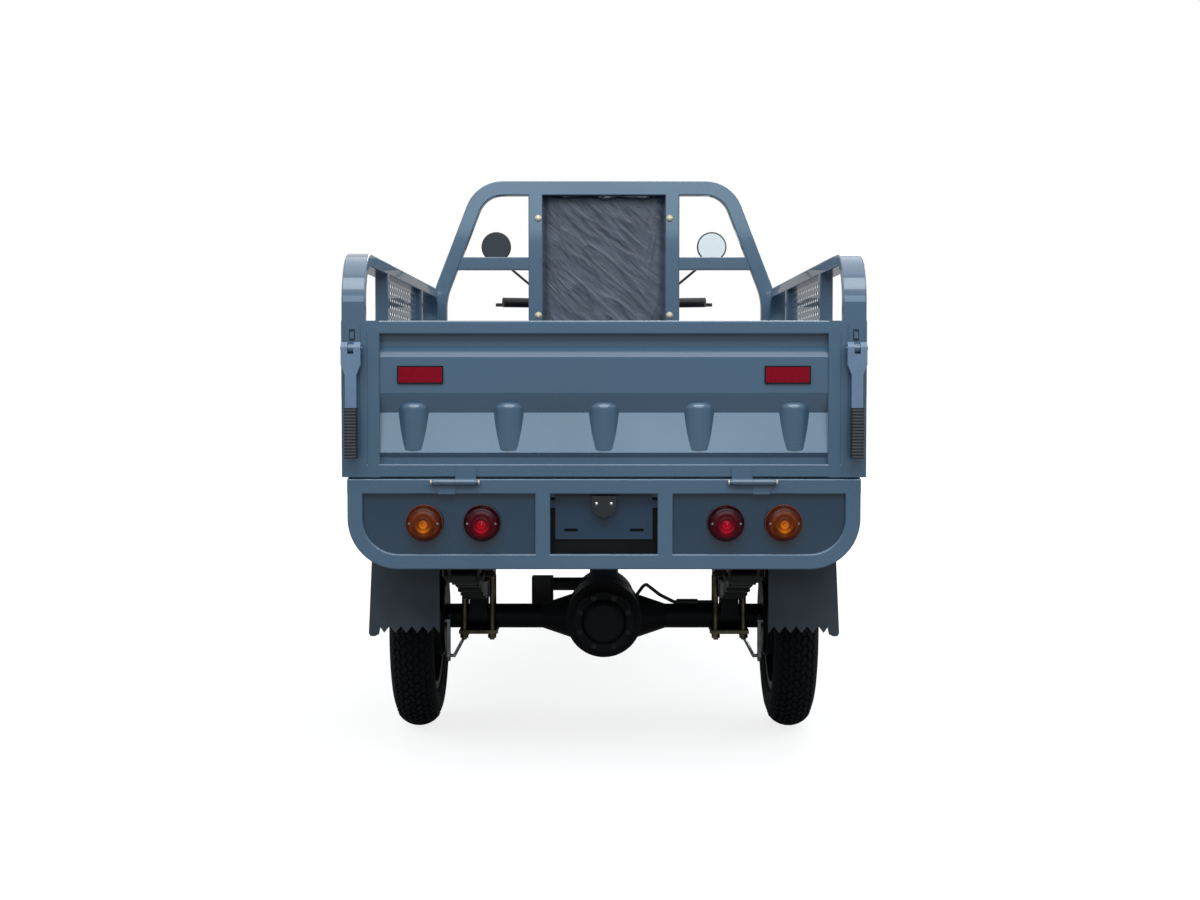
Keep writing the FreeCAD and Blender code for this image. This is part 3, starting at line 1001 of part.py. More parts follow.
# Foot board, leg shield and brake pedal
foot_top = CAB_RAIL_TOP + FOOT_SHEET
board = [block(-FOOT_HALF, FOOT_HALF, bed_y(BOX_FRONT + 1), bed_y(SHIELD_Y), CAB_RAIL_TOP, foot_top)]
for side in SIDES:
    board.append(block(side * (FOOT_HALF - FOOT_SHEET), side * FOOT_HALF,
                       bed_y(BOX_FRONT + 1), bed_y(SHIELD_Y),
                       CAB_RAIL_TOP - 18, foot_top))
pedal_axis = Vector(PEDAL_X, bed_y(PEDAL_Y), PEDAL_Z)
for side in SIDES:
    near, far = pedal_axis + X_AXIS * (side * 6.0), pedal_axis + X_AXIS * (side * 11.0)
    board.append(rod(near, far, 8))
    board.append(block(near.x, far.x, pedal_axis.y - 8, pedal_axis.y + 8, CAB_RAIL_TOP + 1, PEDAL_Z))
board.append(rod(pedal_axis - X_AXIS * 14, pedal_axis + X_AXIS * 14, HINGE_PIN))
parts["foot_board"] = fused(board)

shield_line = [(SHIELD_Y, CAB_RAIL_TOP), (SHIELD_Y, SHIELD_BEND), (SHIELD_Y - SHIELD_LEAN, SHIELD_TOP)]
outside = [Vector(-FOOT_HALF, bed_y(y), z) for y, z in shield_line]
inside = [point + Vector(0, 2.5, 0) for point in reversed(outside)]
shield = [prism(outside + inside, Vector(2 * FOOT_HALF, 0, 0))]
for side in SIDES:
    edge = shield_line + [(SHIELD_Y - SHIELD_LEAN - 25, SHIELD_TOP - 8), (SHIELD_Y - 30, SHIELD_BEND - 8),
                          (SHIELD_Y - 30, foot_top)]
    returns = [Vector(side * FOOT_HALF, bed_y(y), z) for y, z in edge]
    shield.append(prism(returns, Vector(-side * 2.5, 0, 0)))
shield = fused(shield).cut(parts["neck_frame"]).cut(parts["foot_board"])
parts["leg_shield"] = shield.cut(parts["chassis_frame"])

pedal_arm = [(-6, -6), (7, -6), (44, 46), (50, 56), (40, 62), (28, 48), (-8, 4)]
pedal = [prism([pedal_axis + Vector(-5.4, y, z) for y, z in pedal_arm], Vector(10.8, 0, 0)),
         rod(pedal_axis - X_AXIS * 5.4, pedal_axis + X_AXIS * 5.4, 8)]
pad_outline = [pedal_axis + Vector(-28, y, z) for y, z in ((33, 55), (50, 43), (54, 48), (37, 61))]
pedal.append(prism(pad_outline, Vector(56, 0, 0)))
parts["brake_pedal"] = fused(pedal).cut(rod(pedal_axis - X_AXIS * 30, pedal_axis + X_AXIS * 30,
                                            HINGE_PIN + SHAFT_FIT))

# Writing every node
for name, shape in parts.items():
    shape.exportStep(os.path.join("parts", name + ".step"))
    print(name, "solids", len(shape.Solids), "valid", shape.isValid(), "volume", round(shape.Volume))
print(len(parts), "nodes")
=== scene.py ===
# %% [markdown]
# # Dressing a cargo tricycle
# The frame of this vehicle comes ready made: tubes, axle, wheels and hinges are solids with real sizes.
# What is left for Blender is what the eye reads first: paint, rubber, plastic film, glass and tread.
# Each step below says what the real thing is, how it could be made, and why it is made this way here.

# %% The frame
import math

import bmesh
import bpy
from mathutils import Matrix, Vector, noise


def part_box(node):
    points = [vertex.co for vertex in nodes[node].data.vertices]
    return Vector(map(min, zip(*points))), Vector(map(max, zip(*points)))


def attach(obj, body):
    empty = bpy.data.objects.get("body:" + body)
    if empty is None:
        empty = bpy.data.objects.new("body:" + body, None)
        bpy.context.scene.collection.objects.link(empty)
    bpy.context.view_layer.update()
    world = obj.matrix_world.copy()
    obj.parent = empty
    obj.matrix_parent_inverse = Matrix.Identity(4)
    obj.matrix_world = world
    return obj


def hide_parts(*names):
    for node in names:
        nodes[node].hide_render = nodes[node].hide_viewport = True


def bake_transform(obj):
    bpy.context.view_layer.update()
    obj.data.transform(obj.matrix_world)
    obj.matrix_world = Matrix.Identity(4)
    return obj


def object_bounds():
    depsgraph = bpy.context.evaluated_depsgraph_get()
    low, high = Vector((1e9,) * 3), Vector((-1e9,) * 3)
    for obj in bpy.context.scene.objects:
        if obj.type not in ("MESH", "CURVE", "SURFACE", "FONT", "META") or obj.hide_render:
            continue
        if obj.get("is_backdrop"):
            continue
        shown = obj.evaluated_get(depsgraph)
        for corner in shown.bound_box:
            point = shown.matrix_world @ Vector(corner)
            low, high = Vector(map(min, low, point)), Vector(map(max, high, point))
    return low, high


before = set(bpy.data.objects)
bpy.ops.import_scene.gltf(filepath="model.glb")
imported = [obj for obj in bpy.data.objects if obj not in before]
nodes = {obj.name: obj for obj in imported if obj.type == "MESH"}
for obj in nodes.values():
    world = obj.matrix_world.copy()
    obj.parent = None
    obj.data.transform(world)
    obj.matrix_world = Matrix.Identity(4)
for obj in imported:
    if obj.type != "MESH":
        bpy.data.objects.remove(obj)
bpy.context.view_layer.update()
scene = bpy.context.scene
scene.view_settings.view_transform = "Standard"

# %% [markdown]
# ## Camera
# The photograph was taken from behind, a little above the tailgate, with a normal lens.
# The level lines of the bed sides meet at one point, which gives the height of the camera and its small tilt.

# %% Camera
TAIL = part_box("tailgate_frame")[0].y
camera_data = bpy.data.cameras.new("camera")
camera_data.lens = 52.0
camera_data.sensor_width = 36.0
camera = bpy.data.objects.new("camera", camera_data)
camera.location = (0.0, TAIL - 3.386, 0.793)
camera.rotation_euler = (math.radians(90 - 2.41), 0.0, math.radians(0.13))
scene.collection.objects.link(camera)
scene.camera = camera
print("camera stands", round(TAIL - camera.location.y, 2), "m behind the tailgate")

# %% [markdown]
# ## Light and floor
# The vehicle stands in the open under a bright sky, and its paint shows it: faces that lean up are pale, and
# faces that lean down are dark. One broad lamp high behind gives that, a little blue, and a low strip of sky
# shines in the faces that lean up. Weaker lamps in front and at the sides light what the camera doesn't see.
# The camera itself sees plain white, gloss sees a part of it, and the floor keeps a soft shadow.


# %% Lamps
def soft_lamp(name, place, target, size, power, colour):
    data = bpy.data.lights.new(name, "AREA")
    data.shape = "RECTANGLE"
    data.size, data.size_y = size
    data.energy = power
    data.color = colour
    lamp = bpy.data.objects.new(name, data)
    lamp.location = place
    aim = Vector(target) - Vector(place)
    lamp.rotation_euler = aim.to_track_quat("-Z", "Y").to_euler()
    scene.collection.objects.link(lamp)


WHITE = (1.0, 1.0, 1.0)
SKY_TINT = (0.86, 0.945, 1.0)
LOW_SKY_TINT = (0.62, 0.83, 1.0)
soft_lamp("lamp_above", (0.0, -0.4, 4.8), (0.0, -0.4, 0.6), (3.0, 5.0), 50, WHITE)
soft_lamp("lamp_behind", (0.0, -5.6, 5.2), (0.0, -1.4, 0.7), (7.0, 3.0), 285, SKY_TINT)
soft_lamp("lamp_low_sky", (0.0, -7.4, 2.25), (0.0, -1.4, 0.6), (5.0, 0.9), 41, LOW_SKY_TINT)
soft_lamp("lamp_front", (1.6, 5.0, 3.4), (0.0, 1.0, 0.7), (3.0, 3.0), 170, SKY_TINT)
for side, reach in (("left", -5.2), ("right", 5.2)):
    soft_lamp("lamp_" + side, (reach, 0.6, 3.0), (0.0, 0.2, 0.6), (3.0, 3.0), 85, SKY_TINT)
print("lamps:", len(bpy.data.lights))


# %% Room and floor
def math_node(tree, operation, first, second=None):
    node = tree.nodes.new("ShaderNodeMath")
    node.operation = operation
    for index, value in enumerate((first, second)):
        if value is None:
            continue
        if isinstance(value, (int, float)):
            node.inputs[index].default_value = value
        else:
            tree.links.new(value, node.inputs[index])
    return node.outputs[0]


def scale_between(tree, value, low, high, to_low, to_high):
    node = tree.nodes.new("ShaderNodeMapRange")
    node.interpolation_type = "SMOOTHSTEP"
    for label, number in (("From Min", low), ("From Max", high), ("To Min", to_low), ("To Max", to_high)):
        node.inputs[label].default_value = number
    tree.links.new(value, node.inputs["Value"])
    return node.outputs["Result"]


def seen_or_lit(tree, seen, lit, gloss):
    # The camera, also through glass, sees one strength, the object is lit by another, gloss sees a blend.
    path = tree.nodes.new("ShaderNodeLightPath")
    shine = math_node(tree, "MULTIPLY", path.outputs["Is Glossy Ray"], gloss)
    eye = math_node(tree, "MAXIMUM", path.outputs["Is Camera Ray"], path.outputs["Is Transmission Ray"])
    choice = tree.nodes.new("ShaderNodeMix")
    tree.links.new(math_node(tree, "MAXIMUM", eye, shine), choice.inputs[0])
    for value, socket in ((lit, choice.inputs[2]), (seen, choice.inputs[3])):
        if isinstance(value, float):
            socket.default_value = value
        else:
            tree.links.new(value, socket)
    return choice.outputs[0]


SKY_GLOSS, FLOOR_GLOSS = 0.25, 0.12
FLOOR_GREY = 0.14
world = bpy.data.worlds.new("white_room")
scene.world = world
world.use_nodes = True
sky_tree = world.node_tree
background = sky_tree.nodes["Background"]
background.inputs["Color"].default_value = (*WHITE, 1.0)
sky_place = sky_tree.nodes.new("ShaderNodeTexCoord")
sky_split = sky_tree.nodes.new("ShaderNodeSeparateXYZ")
sky_tree.links.new(sky_place.outputs["Generated"], sky_split.inputs["Vector"])
sky = scale_between(sky_tree, sky_split.outputs["Z"], 0.0, 0.5, 0.08, 0.9)
sky_tree.links.new(seen_or_lit(sky_tree, 1.0, sky, SKY_GLOSS), background.inputs["Strength"])

floor_mesh = bpy.data.meshes.new("floor")
floor_form = bmesh.new()
bmesh.ops.create_grid(floor_form, x_segments=1, y_segments=1, size=60.0)
floor_form.to_mesh(floor_mesh)
floor_form.free()
floor = bpy.data.objects.new("floor", floor_mesh)
scene.collection.objects.link(floor)
floor_paint = bpy.data.materials.new("pale_floor")
floor_paint.use_nodes = True
floor_tree = floor_paint.node_tree
floor_shader = floor_tree.nodes["Principled BSDF"]
floor_shader.inputs["Base Color"].default_value = (FLOOR_GREY, FLOOR_GREY, FLOOR_GREY, 1.0)
floor_shader.inputs["Roughness"].default_value = 0.95
floor_shader.inputs["Emission Color"].default_value = (*WHITE, 1.0)
floor_place = floor_tree.nodes.new("ShaderNodeTexCoord")
floor_reach = floor_tree.nodes.new("ShaderNodeVectorMath")
floor_reach.operation = "LENGTH"
floor_tree.links.new(floor_place.outputs["Object"], floor_reach.inputs[0])
floor_glow = scale_between(floor_tree, floor_reach.outputs["Value"], 1.2, 4.0, 0.82, 1.0)
floor_strength = seen_or_lit(floor_tree, floor_glow, 0.0, FLOOR_GLOSS)
floor_tree.links.new(floor_strength, floor_shader.inputs["Emission Strength"])
floor_mesh.materials.append(floor_paint)
floor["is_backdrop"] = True
print("floor and room ready")

# %% [markdown]
# ## Shared surface effects
# Paint, rubber and metal differ in colour, but they share habits: faint patches and a fine grain.
# Each habit is one node group with named sockets, so a material is only a colour and a few numbers.


# %% Effect groups
def shade(red, green, blue):
    # Screen values from 0 to 255 as the linear colour that a shader takes.
    def linear(value):
        share = value / 255.0
        return share / 12.92 if share <= 0.04045 else ((share + 0.055) / 1.055) ** 2.4

    return (linear(red), linear(green), linear(blue), 1.0)


def new_group(name, inputs, outputs):
    group = bpy.data.node_groups.new(name, "ShaderNodeTree")
    for label, kind, value in inputs:
        socket = group.interface.new_socket(label, in_out="INPUT", socket_type=kind)
        socket.default_value = value
    for label, kind in outputs:
        group.interface.new_socket(label, in_out="OUTPUT", socket_type=kind)
    return group, group.nodes.new("NodeGroupInput"), group.nodes.new("NodeGroupOutput")


def noise_node(tree, vector, scale, detail=3.0):
    node = tree.nodes.new("ShaderNodeTexNoise")
    node.inputs["Detail"].default_value = detail
    tree.links.new(vector, node.inputs["Vector"])
    if isinstance(scale, (int, float)):
        node.inputs["Scale"].default_value = scale
    else:
        tree.links.new(scale, node.inputs["Scale"])
    return node.outputs["Fac"]


def blend_colour(tree, factor, first, second):
    node = tree.nodes.new("ShaderNodeMix")
    node.data_type = "RGBA"
    tree.links.new(factor, node.inputs["Factor"])
    for value, socket in ((first, node.inputs[6]), (second, node.inputs[7])):
        if isinstance(value, tuple):
            socket.default_value = value
        else:
            tree.links.new(value, socket)
    return node.outputs[2]


COLOUR, NUMBER = "NodeSocketColor", "NodeSocketFloat"
SURFACE_OUT = (("Color", COLOUR), ("Roughness", NUMBER), ("Height", NUMBER))


def surface_group(name, stretch, peel_detail):
    # Patches of a second colour, grain in the height, and a roughness that follows the patches.
    inputs = (("Color", COLOUR, (0.5, 0.5, 0.5, 1.0)), ("Patch Color", COLOUR, (0.4, 0.4, 0.4, 1.0)),
              ("Patch Scale", NUMBER, 6.0), ("Grain Scale", NUMBER, 300.0), ("Roughness", NUMBER, 0.4),
              ("Roughness Range", NUMBER, 0.1))
    group, source, result = new_group(name, inputs, SURFACE_OUT)
    place = group.nodes.new("ShaderNodeTexCoord")
    mapping = group.nodes.new("ShaderNodeMapping")
    mapping.inputs["Scale"].default_value = stretch
    group.links.new(place.outputs["Object"], mapping.inputs["Vector"])
    patches = noise_node(group, place.outputs["Object"], source.outputs["Patch Scale"], 5.0)
    patches = scale_between(group, patches, 0.3, 0.75, 0.0, 1.0)
    colour = blend_colour(group, patches, source.outputs["Color"], source.outputs["Patch Color"])
    group.links.new(colour, result.inputs["Color"])
    swing = math_node(group, "MULTIPLY", patches, source.outputs["Roughness Range"])
    group.links.new(math_node(group, "ADD", source.outputs["Roughness"], swing), result.inputs["Roughness"])
    grain = noise_node(group, mapping.outputs["Vector"], source.outputs["Grain Scale"], peel_detail)
    group.links.new(grain, result.inputs["Height"])
    return group


paint_skin = surface_group("paint_skin", (1, 1, 1), 1.0)
moulded_grain = surface_group("moulded_grain", (1, 1, 1), 4.0)
brushed_grain = surface_group("brushed_grain", (0.06, 1, 1), 3.0)
print("effect groups:", [group.name for group in bpy.data.node_groups])


# %% Materials from the groups
def finish(name, group, colour, patch, roughness, swing=0.1, patch_scale=6.0, grain=300.0, bump=0.05,
           metallic=0.0, coat=0.0, specular=0.5):
    material = bpy.data.materials.new(name)
    material.use_nodes = True
    tree = material.node_tree
    shader = tree.nodes["Principled BSDF"]
    shader.inputs["Metallic"].default_value = metallic
    shader.inputs["Coat Weight"].default_value = coat
    shader.inputs["Specular IOR Level"].default_value = specular
    shader.inputs["Coat Roughness"].default_value = 0.05
    effect = tree.nodes.new("ShaderNodeGroup")
    effect.node_tree = group
    values = {"Color": colour, "Patch Color": patch, "Patch Scale": patch_scale, "Grain Scale": grain,
              "Roughness": roughness, "Roughness Range": swing}
    for label, value in values.items():
        effect.inputs[label].default_value = value
    relief = tree.nodes.new("ShaderNodeBump")
    relief.inputs["Strength"].default_value = bump
    relief.inputs["Distance"].default_value = 0.001
    tree.links.new(effect.outputs["Color"], shader.inputs["Base Color"])
    tree.links.new(effect.outputs["Roughness"], shader.inputs["Roughness"])
    tree.links.new(effect.outputs["Height"], relief.inputs["Height"])
    tree.links.new(relief.outputs["Normal"], shader.inputs["Normal"])
    return material


def dress(material, *names):
    for name in names:
        nodes[name].material_slots[0].material = material


def painted_shade_behind(material, depth, colour):
    # Sheets behind the tubes see little of the sky, so from this depth on the paint is darker: painted shade.
    tree = material.node_tree
    paint = tree.nodes["Principled BSDF"].inputs["Base Color"]
    place = tree.nodes.new("ShaderNodeTexCoord")
    split = tree.nodes.new("ShaderNodeSeparateXYZ")
    tree.links.new(place.outputs["Object"], split.inputs["Vector"])
    behind = math_node(tree, "GREATER_THAN", split.outputs["Y"], depth)
    tree.links.new(blend_colour(tree, behind, paint.links[0].from_socket, colour), paint)


PAINT, PAINT_PATCH = shade(69, 96, 119), shade(63, 89, 111)
PAINTED_SHADE_BEHIND_LENS = 0.0075
blue = finish("blue_gloss_paint", paint_skin, PAINT, PAINT_PATCH, 0.22, 0.08, 3.0, 260, 0.03, coat=0.9)
# Painted shade: this copy of the blue paint turns darker on the lamp panel sheet, from a set depth behind the
# lenses.
blue_with_painted_shade = finish("blue_paint_with_painted_shade", paint_skin, PAINT, PAINT_PATCH, 0.22, 0.08, 3.0, 260, 0.03, coat=0.9)
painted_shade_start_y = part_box("lamp_lens_amber")[1].y + PAINTED_SHADE_BEHIND_LENS
painted_shade_behind(blue_with_painted_shade, painted_shade_start_y, shade(24, 52, 73))
# Painted shade: the recessed plate holder wears a darker copy of the blue paint.
plate_painted_shade_blue = finish("blue_plate_painted_shade", paint_skin, shade(23, 50, 73), shade(20, 45, 66),
                    0.34, 0.08, 3.0, 260, 0.03, coat=0.2)
# Painted light: the bed floor and foot board wear a paler copy of the blue paint.
bed_painted_light_blue = finish("blue_bed_painted_light", paint_skin, shade(88, 111, 132), shade(78, 100, 121),
                     0.38, 0.12, 4.0, 260, 0.04, coat=0.3)
black = finish("black_chassis_paint", paint_skin, shade(8, 9, 11), shade(17, 17, 18),
               0.36, 0.2, 9.0, 420, 0.06, specular=0.35)
axle_black = finish("black_axle_casting", moulded_grain, shade(4, 5, 8), shade(9, 10, 12),
                    0.42, 0.18, 12.0, 520, 0.16, specular=0.16)
steel = finish("bare_steel", brushed_grain, shade(150, 152, 154), shade(120, 118, 116),
               0.34, 0.2, 20.0, 900, 0.08, metallic=1.0)
dull_zinc = finish("dull_zinc", brushed_grain, shade(118, 110, 84), shade(72, 68, 54),
                   0.4, 0.2, 30.0, 900, 0.08, metallic=1.0)
pale_zinc = finish("pale_zinc", brushed_grain, shade(214, 206, 180), shade(196, 188, 164),
                   0.38, 0.15, 30.0, 900, 0.06, metallic=0.6)
alloy = finish("cast_alloy", moulded_grain, shade(168, 170, 173), shade(146, 148, 151),
               0.4, 0.1, 10.0, 700, 0.08, metallic=1.0)
rubber = finish("flap_rubber", moulded_grain, shade(57, 65, 74), shade(48, 55, 64),
                0.66, 0.15, 8.0, 800, 0.14)
tyre_rubber = finish("tyre_rubber", moulded_grain, shade(7, 10, 14), shade(14, 16, 19),
                     0.74, 0.12, 14.0, 900, 0.16, specular=0.16)
plastic = finish("black_plastic", moulded_grain, shade(14, 15, 17), shade(22, 23, 25),
                 0.46, 0.12, 10.0, 1100, 0.1)
grey_case = finish("grey_battery_case", moulded_grain, shade(62, 65, 69), shade(52, 54, 58),
                   0.5, 0.1, 10.0, 900, 0.1)
print("paints, metals and rubbers:", len(bpy.data.materials))

# %% Which node wears which
dress(blue, "chassis_frame", "neck_frame", "bed_side_left", "bed_side_right", "headboard_frame",
      "side_guard_left", "side_guard_right", "hinge_upper", "hinge_lower", "tailgate_frame",
      "tailgate_panel", "battery_box", "leg_shield", "front_fender")
dress(blue_with_painted_shade, "rear_frame")
dress(plate_painted_shade_blue, "plate_holder")
dress(bed_painted_light_blue, "bed_floor", "foot_board")
dress(black, "leaf_springs", "spring_hangers", "rear_wheel_left", "rear_wheel_right", "front_wheel",
      "handlebar", "headlamp", "fork_upper")
dress(axle_black, "axle_housing", "diff_cover", "motor_case", "brake_plates")
dress(steel, "brake_arm_left", "brake_arm_right", "brake_rods", "ring_gear", "motor_rotor", "brake_pedal")
dress(dull_zinc, "u_bolts")
dress(pale_zinc, "backrest_bolts")
dress(alloy, "fork_sliders")
dress(rubber, "mud_flaps")
dress(plastic, "lamp_housings", "range_shifter", "axle_cables", "lever_left", "lever_right", "mirror_left",
      "mirror_right", "throttle_grip")
dress(grey_case, "battery_pack")
print("paint, metal, rubber and plastic given to their nodes")

# %% [markdown]
# ## Lamp lenses and reflectors
# A lens is clear coloured plastic with rings moulded inside, and its bright middle is painted light.
# True glass would need the bulb lit, so the rings and the bright middle, a painted glow set a little below
# the axis, are worked out from the distance to the lamp's own axis. The reflectors are red plastic over a
# grid of small prisms.


# %% Lens rings
def ring_group():
    inputs = (("Centre X", NUMBER, 0.0), ("Centre Z", NUMBER, 0.0), ("Spacing", NUMBER, 0.004))
    group, source, result = new_group("lens_rings", inputs, (("Radius", NUMBER), ("Height", NUMBER)))
    place = group.nodes.new("ShaderNodeTexCoord")
    split = group.nodes.new("ShaderNodeSeparateXYZ")
    group.links.new(place.outputs["Object"], split.inputs["Vector"])
    side_reach = math_node(group, "ABSOLUTE", split.outputs["X"])
    across = math_node(group, "SUBTRACT", side_reach, source.outputs["Centre X"])
    rise = math_node(group, "SUBTRACT", split.outputs["Z"], source.outputs["Centre Z"])
    squares = math_node(group, "ADD", math_node(group, "MULTIPLY", across, across),
                        math_node(group, "MULTIPLY", rise, rise))
    radius = math_node(group, "SQRT", squares)
    group.links.new(radius, result.inputs["Radius"])
    turns = math_node(group, "DIVIDE", radius, source.outputs["Spacing"])
    wave = math_node(group, "SINE", math_node(group, "MULTIPLY", turns, 2 * math.pi))
    group.links.new(wave, result.inputs["Height"])
    return group


lens_rings = ring_group()
RING_SPACING = 0.0085
PAINTED_GLOW_DROP = 0.5


def lens_finish(name, node, stops):
    low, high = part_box(node)
    material = bpy.data.materials.new(name)
    material.use_nodes = True
    tree = material.node_tree
    shader = tree.nodes["Principled BSDF"]
    shader.inputs["Roughness"].default_value = 0.2
    shader.inputs["Coat Weight"].default_value = 0.06
    shader.inputs["Specular IOR Level"].default_value = 0.14
    shader.inputs["Coat Roughness"].default_value = 0.04
    lens_radius = (high.z - low.z) / 2
    rings, painted_glow = tree.nodes.new("ShaderNodeGroup"), tree.nodes.new("ShaderNodeGroup")
    for group_node, drop in ((rings, 0.0), (painted_glow, PAINTED_GLOW_DROP * lens_radius)):
        group_node.node_tree = lens_rings
        group_node.inputs["Centre X"].default_value = high.x - lens_radius
        group_node.inputs["Centre Z"].default_value = (low.z + high.z) / 2 - drop
        group_node.inputs["Spacing"].default_value = RING_SPACING
    reach = math_node(tree, "DIVIDE", math_node(tree, "ADD", painted_glow.outputs["Radius"], rings.outputs["Radius"]),
                      2 * lens_radius)
    reach = math_node(tree, "ADD", reach, math_node(tree, "MULTIPLY", rings.outputs["Height"], 0.06))
    ramp = tree.nodes.new("ShaderNodeValToRGB")
    ramp.color_ramp.elements[0].color = stops[0][1]
    ramp.color_ramp.elements[1].color = stops[-1][1]
    for position, colour in stops[1:-1]:
        ramp.color_ramp.elements.new(position).color = colour
    tree.links.new(reach, ramp.inputs["Fac"])
    tree.links.new(ramp.outputs["Color"], shader.inputs["Base Color"])
    relief = tree.nodes.new("ShaderNodeBump")
    relief.inputs["Strength"].default_value = 0.35
    relief.inputs["Distance"].default_value = 0.001
    tree.links.new(rings.outputs["Height"], relief.inputs["Height"])
    tree.links.new(relief.outputs["Normal"], shader.inputs["Normal"])
    dress(material, node)


# The pale stops near the middle of each ramp are a painted glow.
lens_finish("amber_lens", "lamp_lens_amber", (
    (0.0, shade(240, 152, 30)), (0.24, shade(210, 110, 8)), (0.4, shade(128, 54, 4)),
    (0.58, shade(82, 30, 4)), (0.8, shade(104, 40, 8)), (1.0, shade(70, 24, 6))))
lens_finish("red_lens", "lamp_lens_red", (
    (0.0, shade(206, 6, 36)), (0.3, shade(164, 2, 26)), (0.46, shade(100, 0, 16)),
    (0.62, shade(62, 0, 12)), (0.8, shade(70, 0, 15)), (1.0, shade(38, 1, 10))))
print("lenses dressed, rings", RING_SPACING * 1000, "mm apart")

# %% Reflectors
PRISM_PITCH = 0.005
REFLECTOR_HALF = 0.045
REFLECTOR_BORDER = 0.0026


def reflector_finish():
    material = bpy.data.materials.new("red_reflector")
    material.use_nodes = True
    tree = material.node_tree
    shader = tree.nodes["Principled BSDF"]
    shader.inputs["Roughness"].default_value = 0.3
    shader.inputs["Specular IOR Level"].default_value = 0.1
    place = tree.nodes.new("ShaderNodeTexCoord")
    split = tree.nodes.new("ShaderNodeSeparateXYZ")
    tree.links.new(place.outputs["Object"], split.inputs["Vector"])
    waves = []
    for axis in ("X", "Z"):
        turns = math_node(tree, "MULTIPLY", split.outputs[axis], 2 * math.pi / PRISM_PITCH)
        waves.append(math_node(tree, "SINE", turns))
    prisms = math_node(tree, "MULTIPLY", waves[0], waves[1])
    level = tree.nodes.new("ShaderNodeMapRange")
    level.inputs["From Min"].default_value = -1.0
    tree.links.new(prisms, level.inputs["Value"])
    prism_colour = blend_colour(tree, level.outputs["Result"], shade(104, 0, 20), shade(150, 2, 34))
    low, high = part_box("reflectors")
    half_height = (high.z - low.z) / 2
    side_reach = math_node(tree, "ABSOLUTE", split.outputs["X"])
    across = math_node(tree, "SUBTRACT", side_reach, high.x - REFLECTOR_HALF)
    rise = math_node(tree, "SUBTRACT", split.outputs["Z"], low.z + half_height)
    side_limit, top_limit = REFLECTOR_HALF - REFLECTOR_BORDER, half_height - REFLECTOR_BORDER
    past_side = math_node(tree, "SUBTRACT", math_node(tree, "ABSOLUTE", across), side_limit)
    past_top = math_node(tree, "SUBTRACT", math_node(tree, "ABSOLUTE", rise), top_limit)
    border = math_node(tree, "GREATER_THAN", math_node(tree, "MAXIMUM", past_side, past_top), 0.0)
    tree.links.new(blend_colour(tree, border, prism_colour, shade(22, 20, 24)), shader.inputs["Base Color"])
    relief = tree.nodes.new("ShaderNodeBump")
    relief.inputs["Strength"].default_value = 0.4
    relief.inputs["Distance"].default_value = 0.0006
    tree.links.new(prisms, relief.inputs["Height"])
    tree.links.new(relief.outputs["Normal"], shader.inputs["Normal"])
    return material


dress(reflector_finish(), "reflectors")
print("reflectors dressed")

# %% [markdown]
# ## Latch levers
# Each lever is a painted forging with a ribbed rubber grip pushed over its lower end.
# Both are one node, so one material reads the height and changes from paint to rubber where the grip starts.


# %% Latch lever finish
GRIP_LENGTH = 0.0982
GRIP_RIB = 0.006


def latch_finish():
    material = bpy.data.materials.new("latch_paint_with_painted_light_and_rubber")
    material.use_nodes = True
    tree = material.node_tree
    shader = tree.nodes["Principled BSDF"]
    place = tree.nodes.new("ShaderNodeTexCoord")
    split = tree.nodes.new("ShaderNodeSeparateXYZ")
    tree.links.new(place.outputs["Object"], split.inputs["Vector"])
    grip_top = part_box("latch_lever_left")[0].z + GRIP_LENGTH
    is_head = math_node(tree, "GREATER_THAN", split.outputs["Z"], grip_top)
    patches = noise_node(tree, place.outputs["Object"], 60.0)
    # Painted light: the lever heads wear a paler copy of the blue paint.
    paint = blend_colour(tree, patches, shade(108, 130, 154), shade(96, 117, 141))
    grip = blend_colour(tree, patches, shade(26, 30, 35), shade(38, 43, 48))
    tree.links.new(blend_colour(tree, is_head, grip, paint), shader.inputs["Base Color"])
    level = tree.nodes.new("ShaderNodeMapRange")
    level.inputs["To Min"].default_value = 0.62
    level.inputs["To Max"].default_value = 0.3
    tree.links.new(is_head, level.inputs["Value"])
    tree.links.new(level.outputs["Result"], shader.inputs["Roughness"])
    turns = math_node(tree, "MULTIPLY", split.outputs["Z"], 2 * math.pi / GRIP_RIB)
    ribs = math_node(tree, "SINE", turns)
    relief = tree.nodes.new("ShaderNodeBump")
    relief.inputs["Strength"].default_value = 0.5
    relief.inputs["Distance"].default_value = 0.0012
    tree.links.new(math_node(tree, "MULTIPLY", ribs, math_node(tree, "SUBTRACT", 1.0, is_head)),
                   relief.inputs["Height"])
    tree.links.new(relief.outputs["Normal"], shader.inputs["Normal"])
    return material


dress(latch_finish(), "latch_lever_left", "latch_lever_right")
dress(blue, "latch_bases")
print("latch levers dressed")

# %% [markdown]
# ## Tyres
# A tyre is a carcass turned about the axle, with rows of small rubber blocks on its rounded crown.
# Turning one profile with spin gives the carcass, and each block is a bevelled cube leaned to the crown's
# slope, so the tread is real geometry and shows in the outline.

# %% Tyre builder
TYRE_RADIUS = 0.2477
CROWN_HALF = 0.0485
CROWN_DROP = 0.042
TREAD_DEPTH = 0.0042
BLOCK_ROWS = (-0.0375, -0.0262, -0.0131, 0.0, 0.0131, 0.0262, 0.0375)
BLOCKS_AROUND = 68
BLOCK_WIDE, BLOCK_LONG = 0.0098, 0.0172
BLOCK_SKEW = 0.4
BEAD_RADIUS = 0.1524


def crown(across):
    # Radius of the finished tread: a flat ellipse across the tyre.
    return TYRE_RADIUS - CROWN_DROP * (1 - math.sqrt(1 - (across / CROWN_HALF) ** 2))


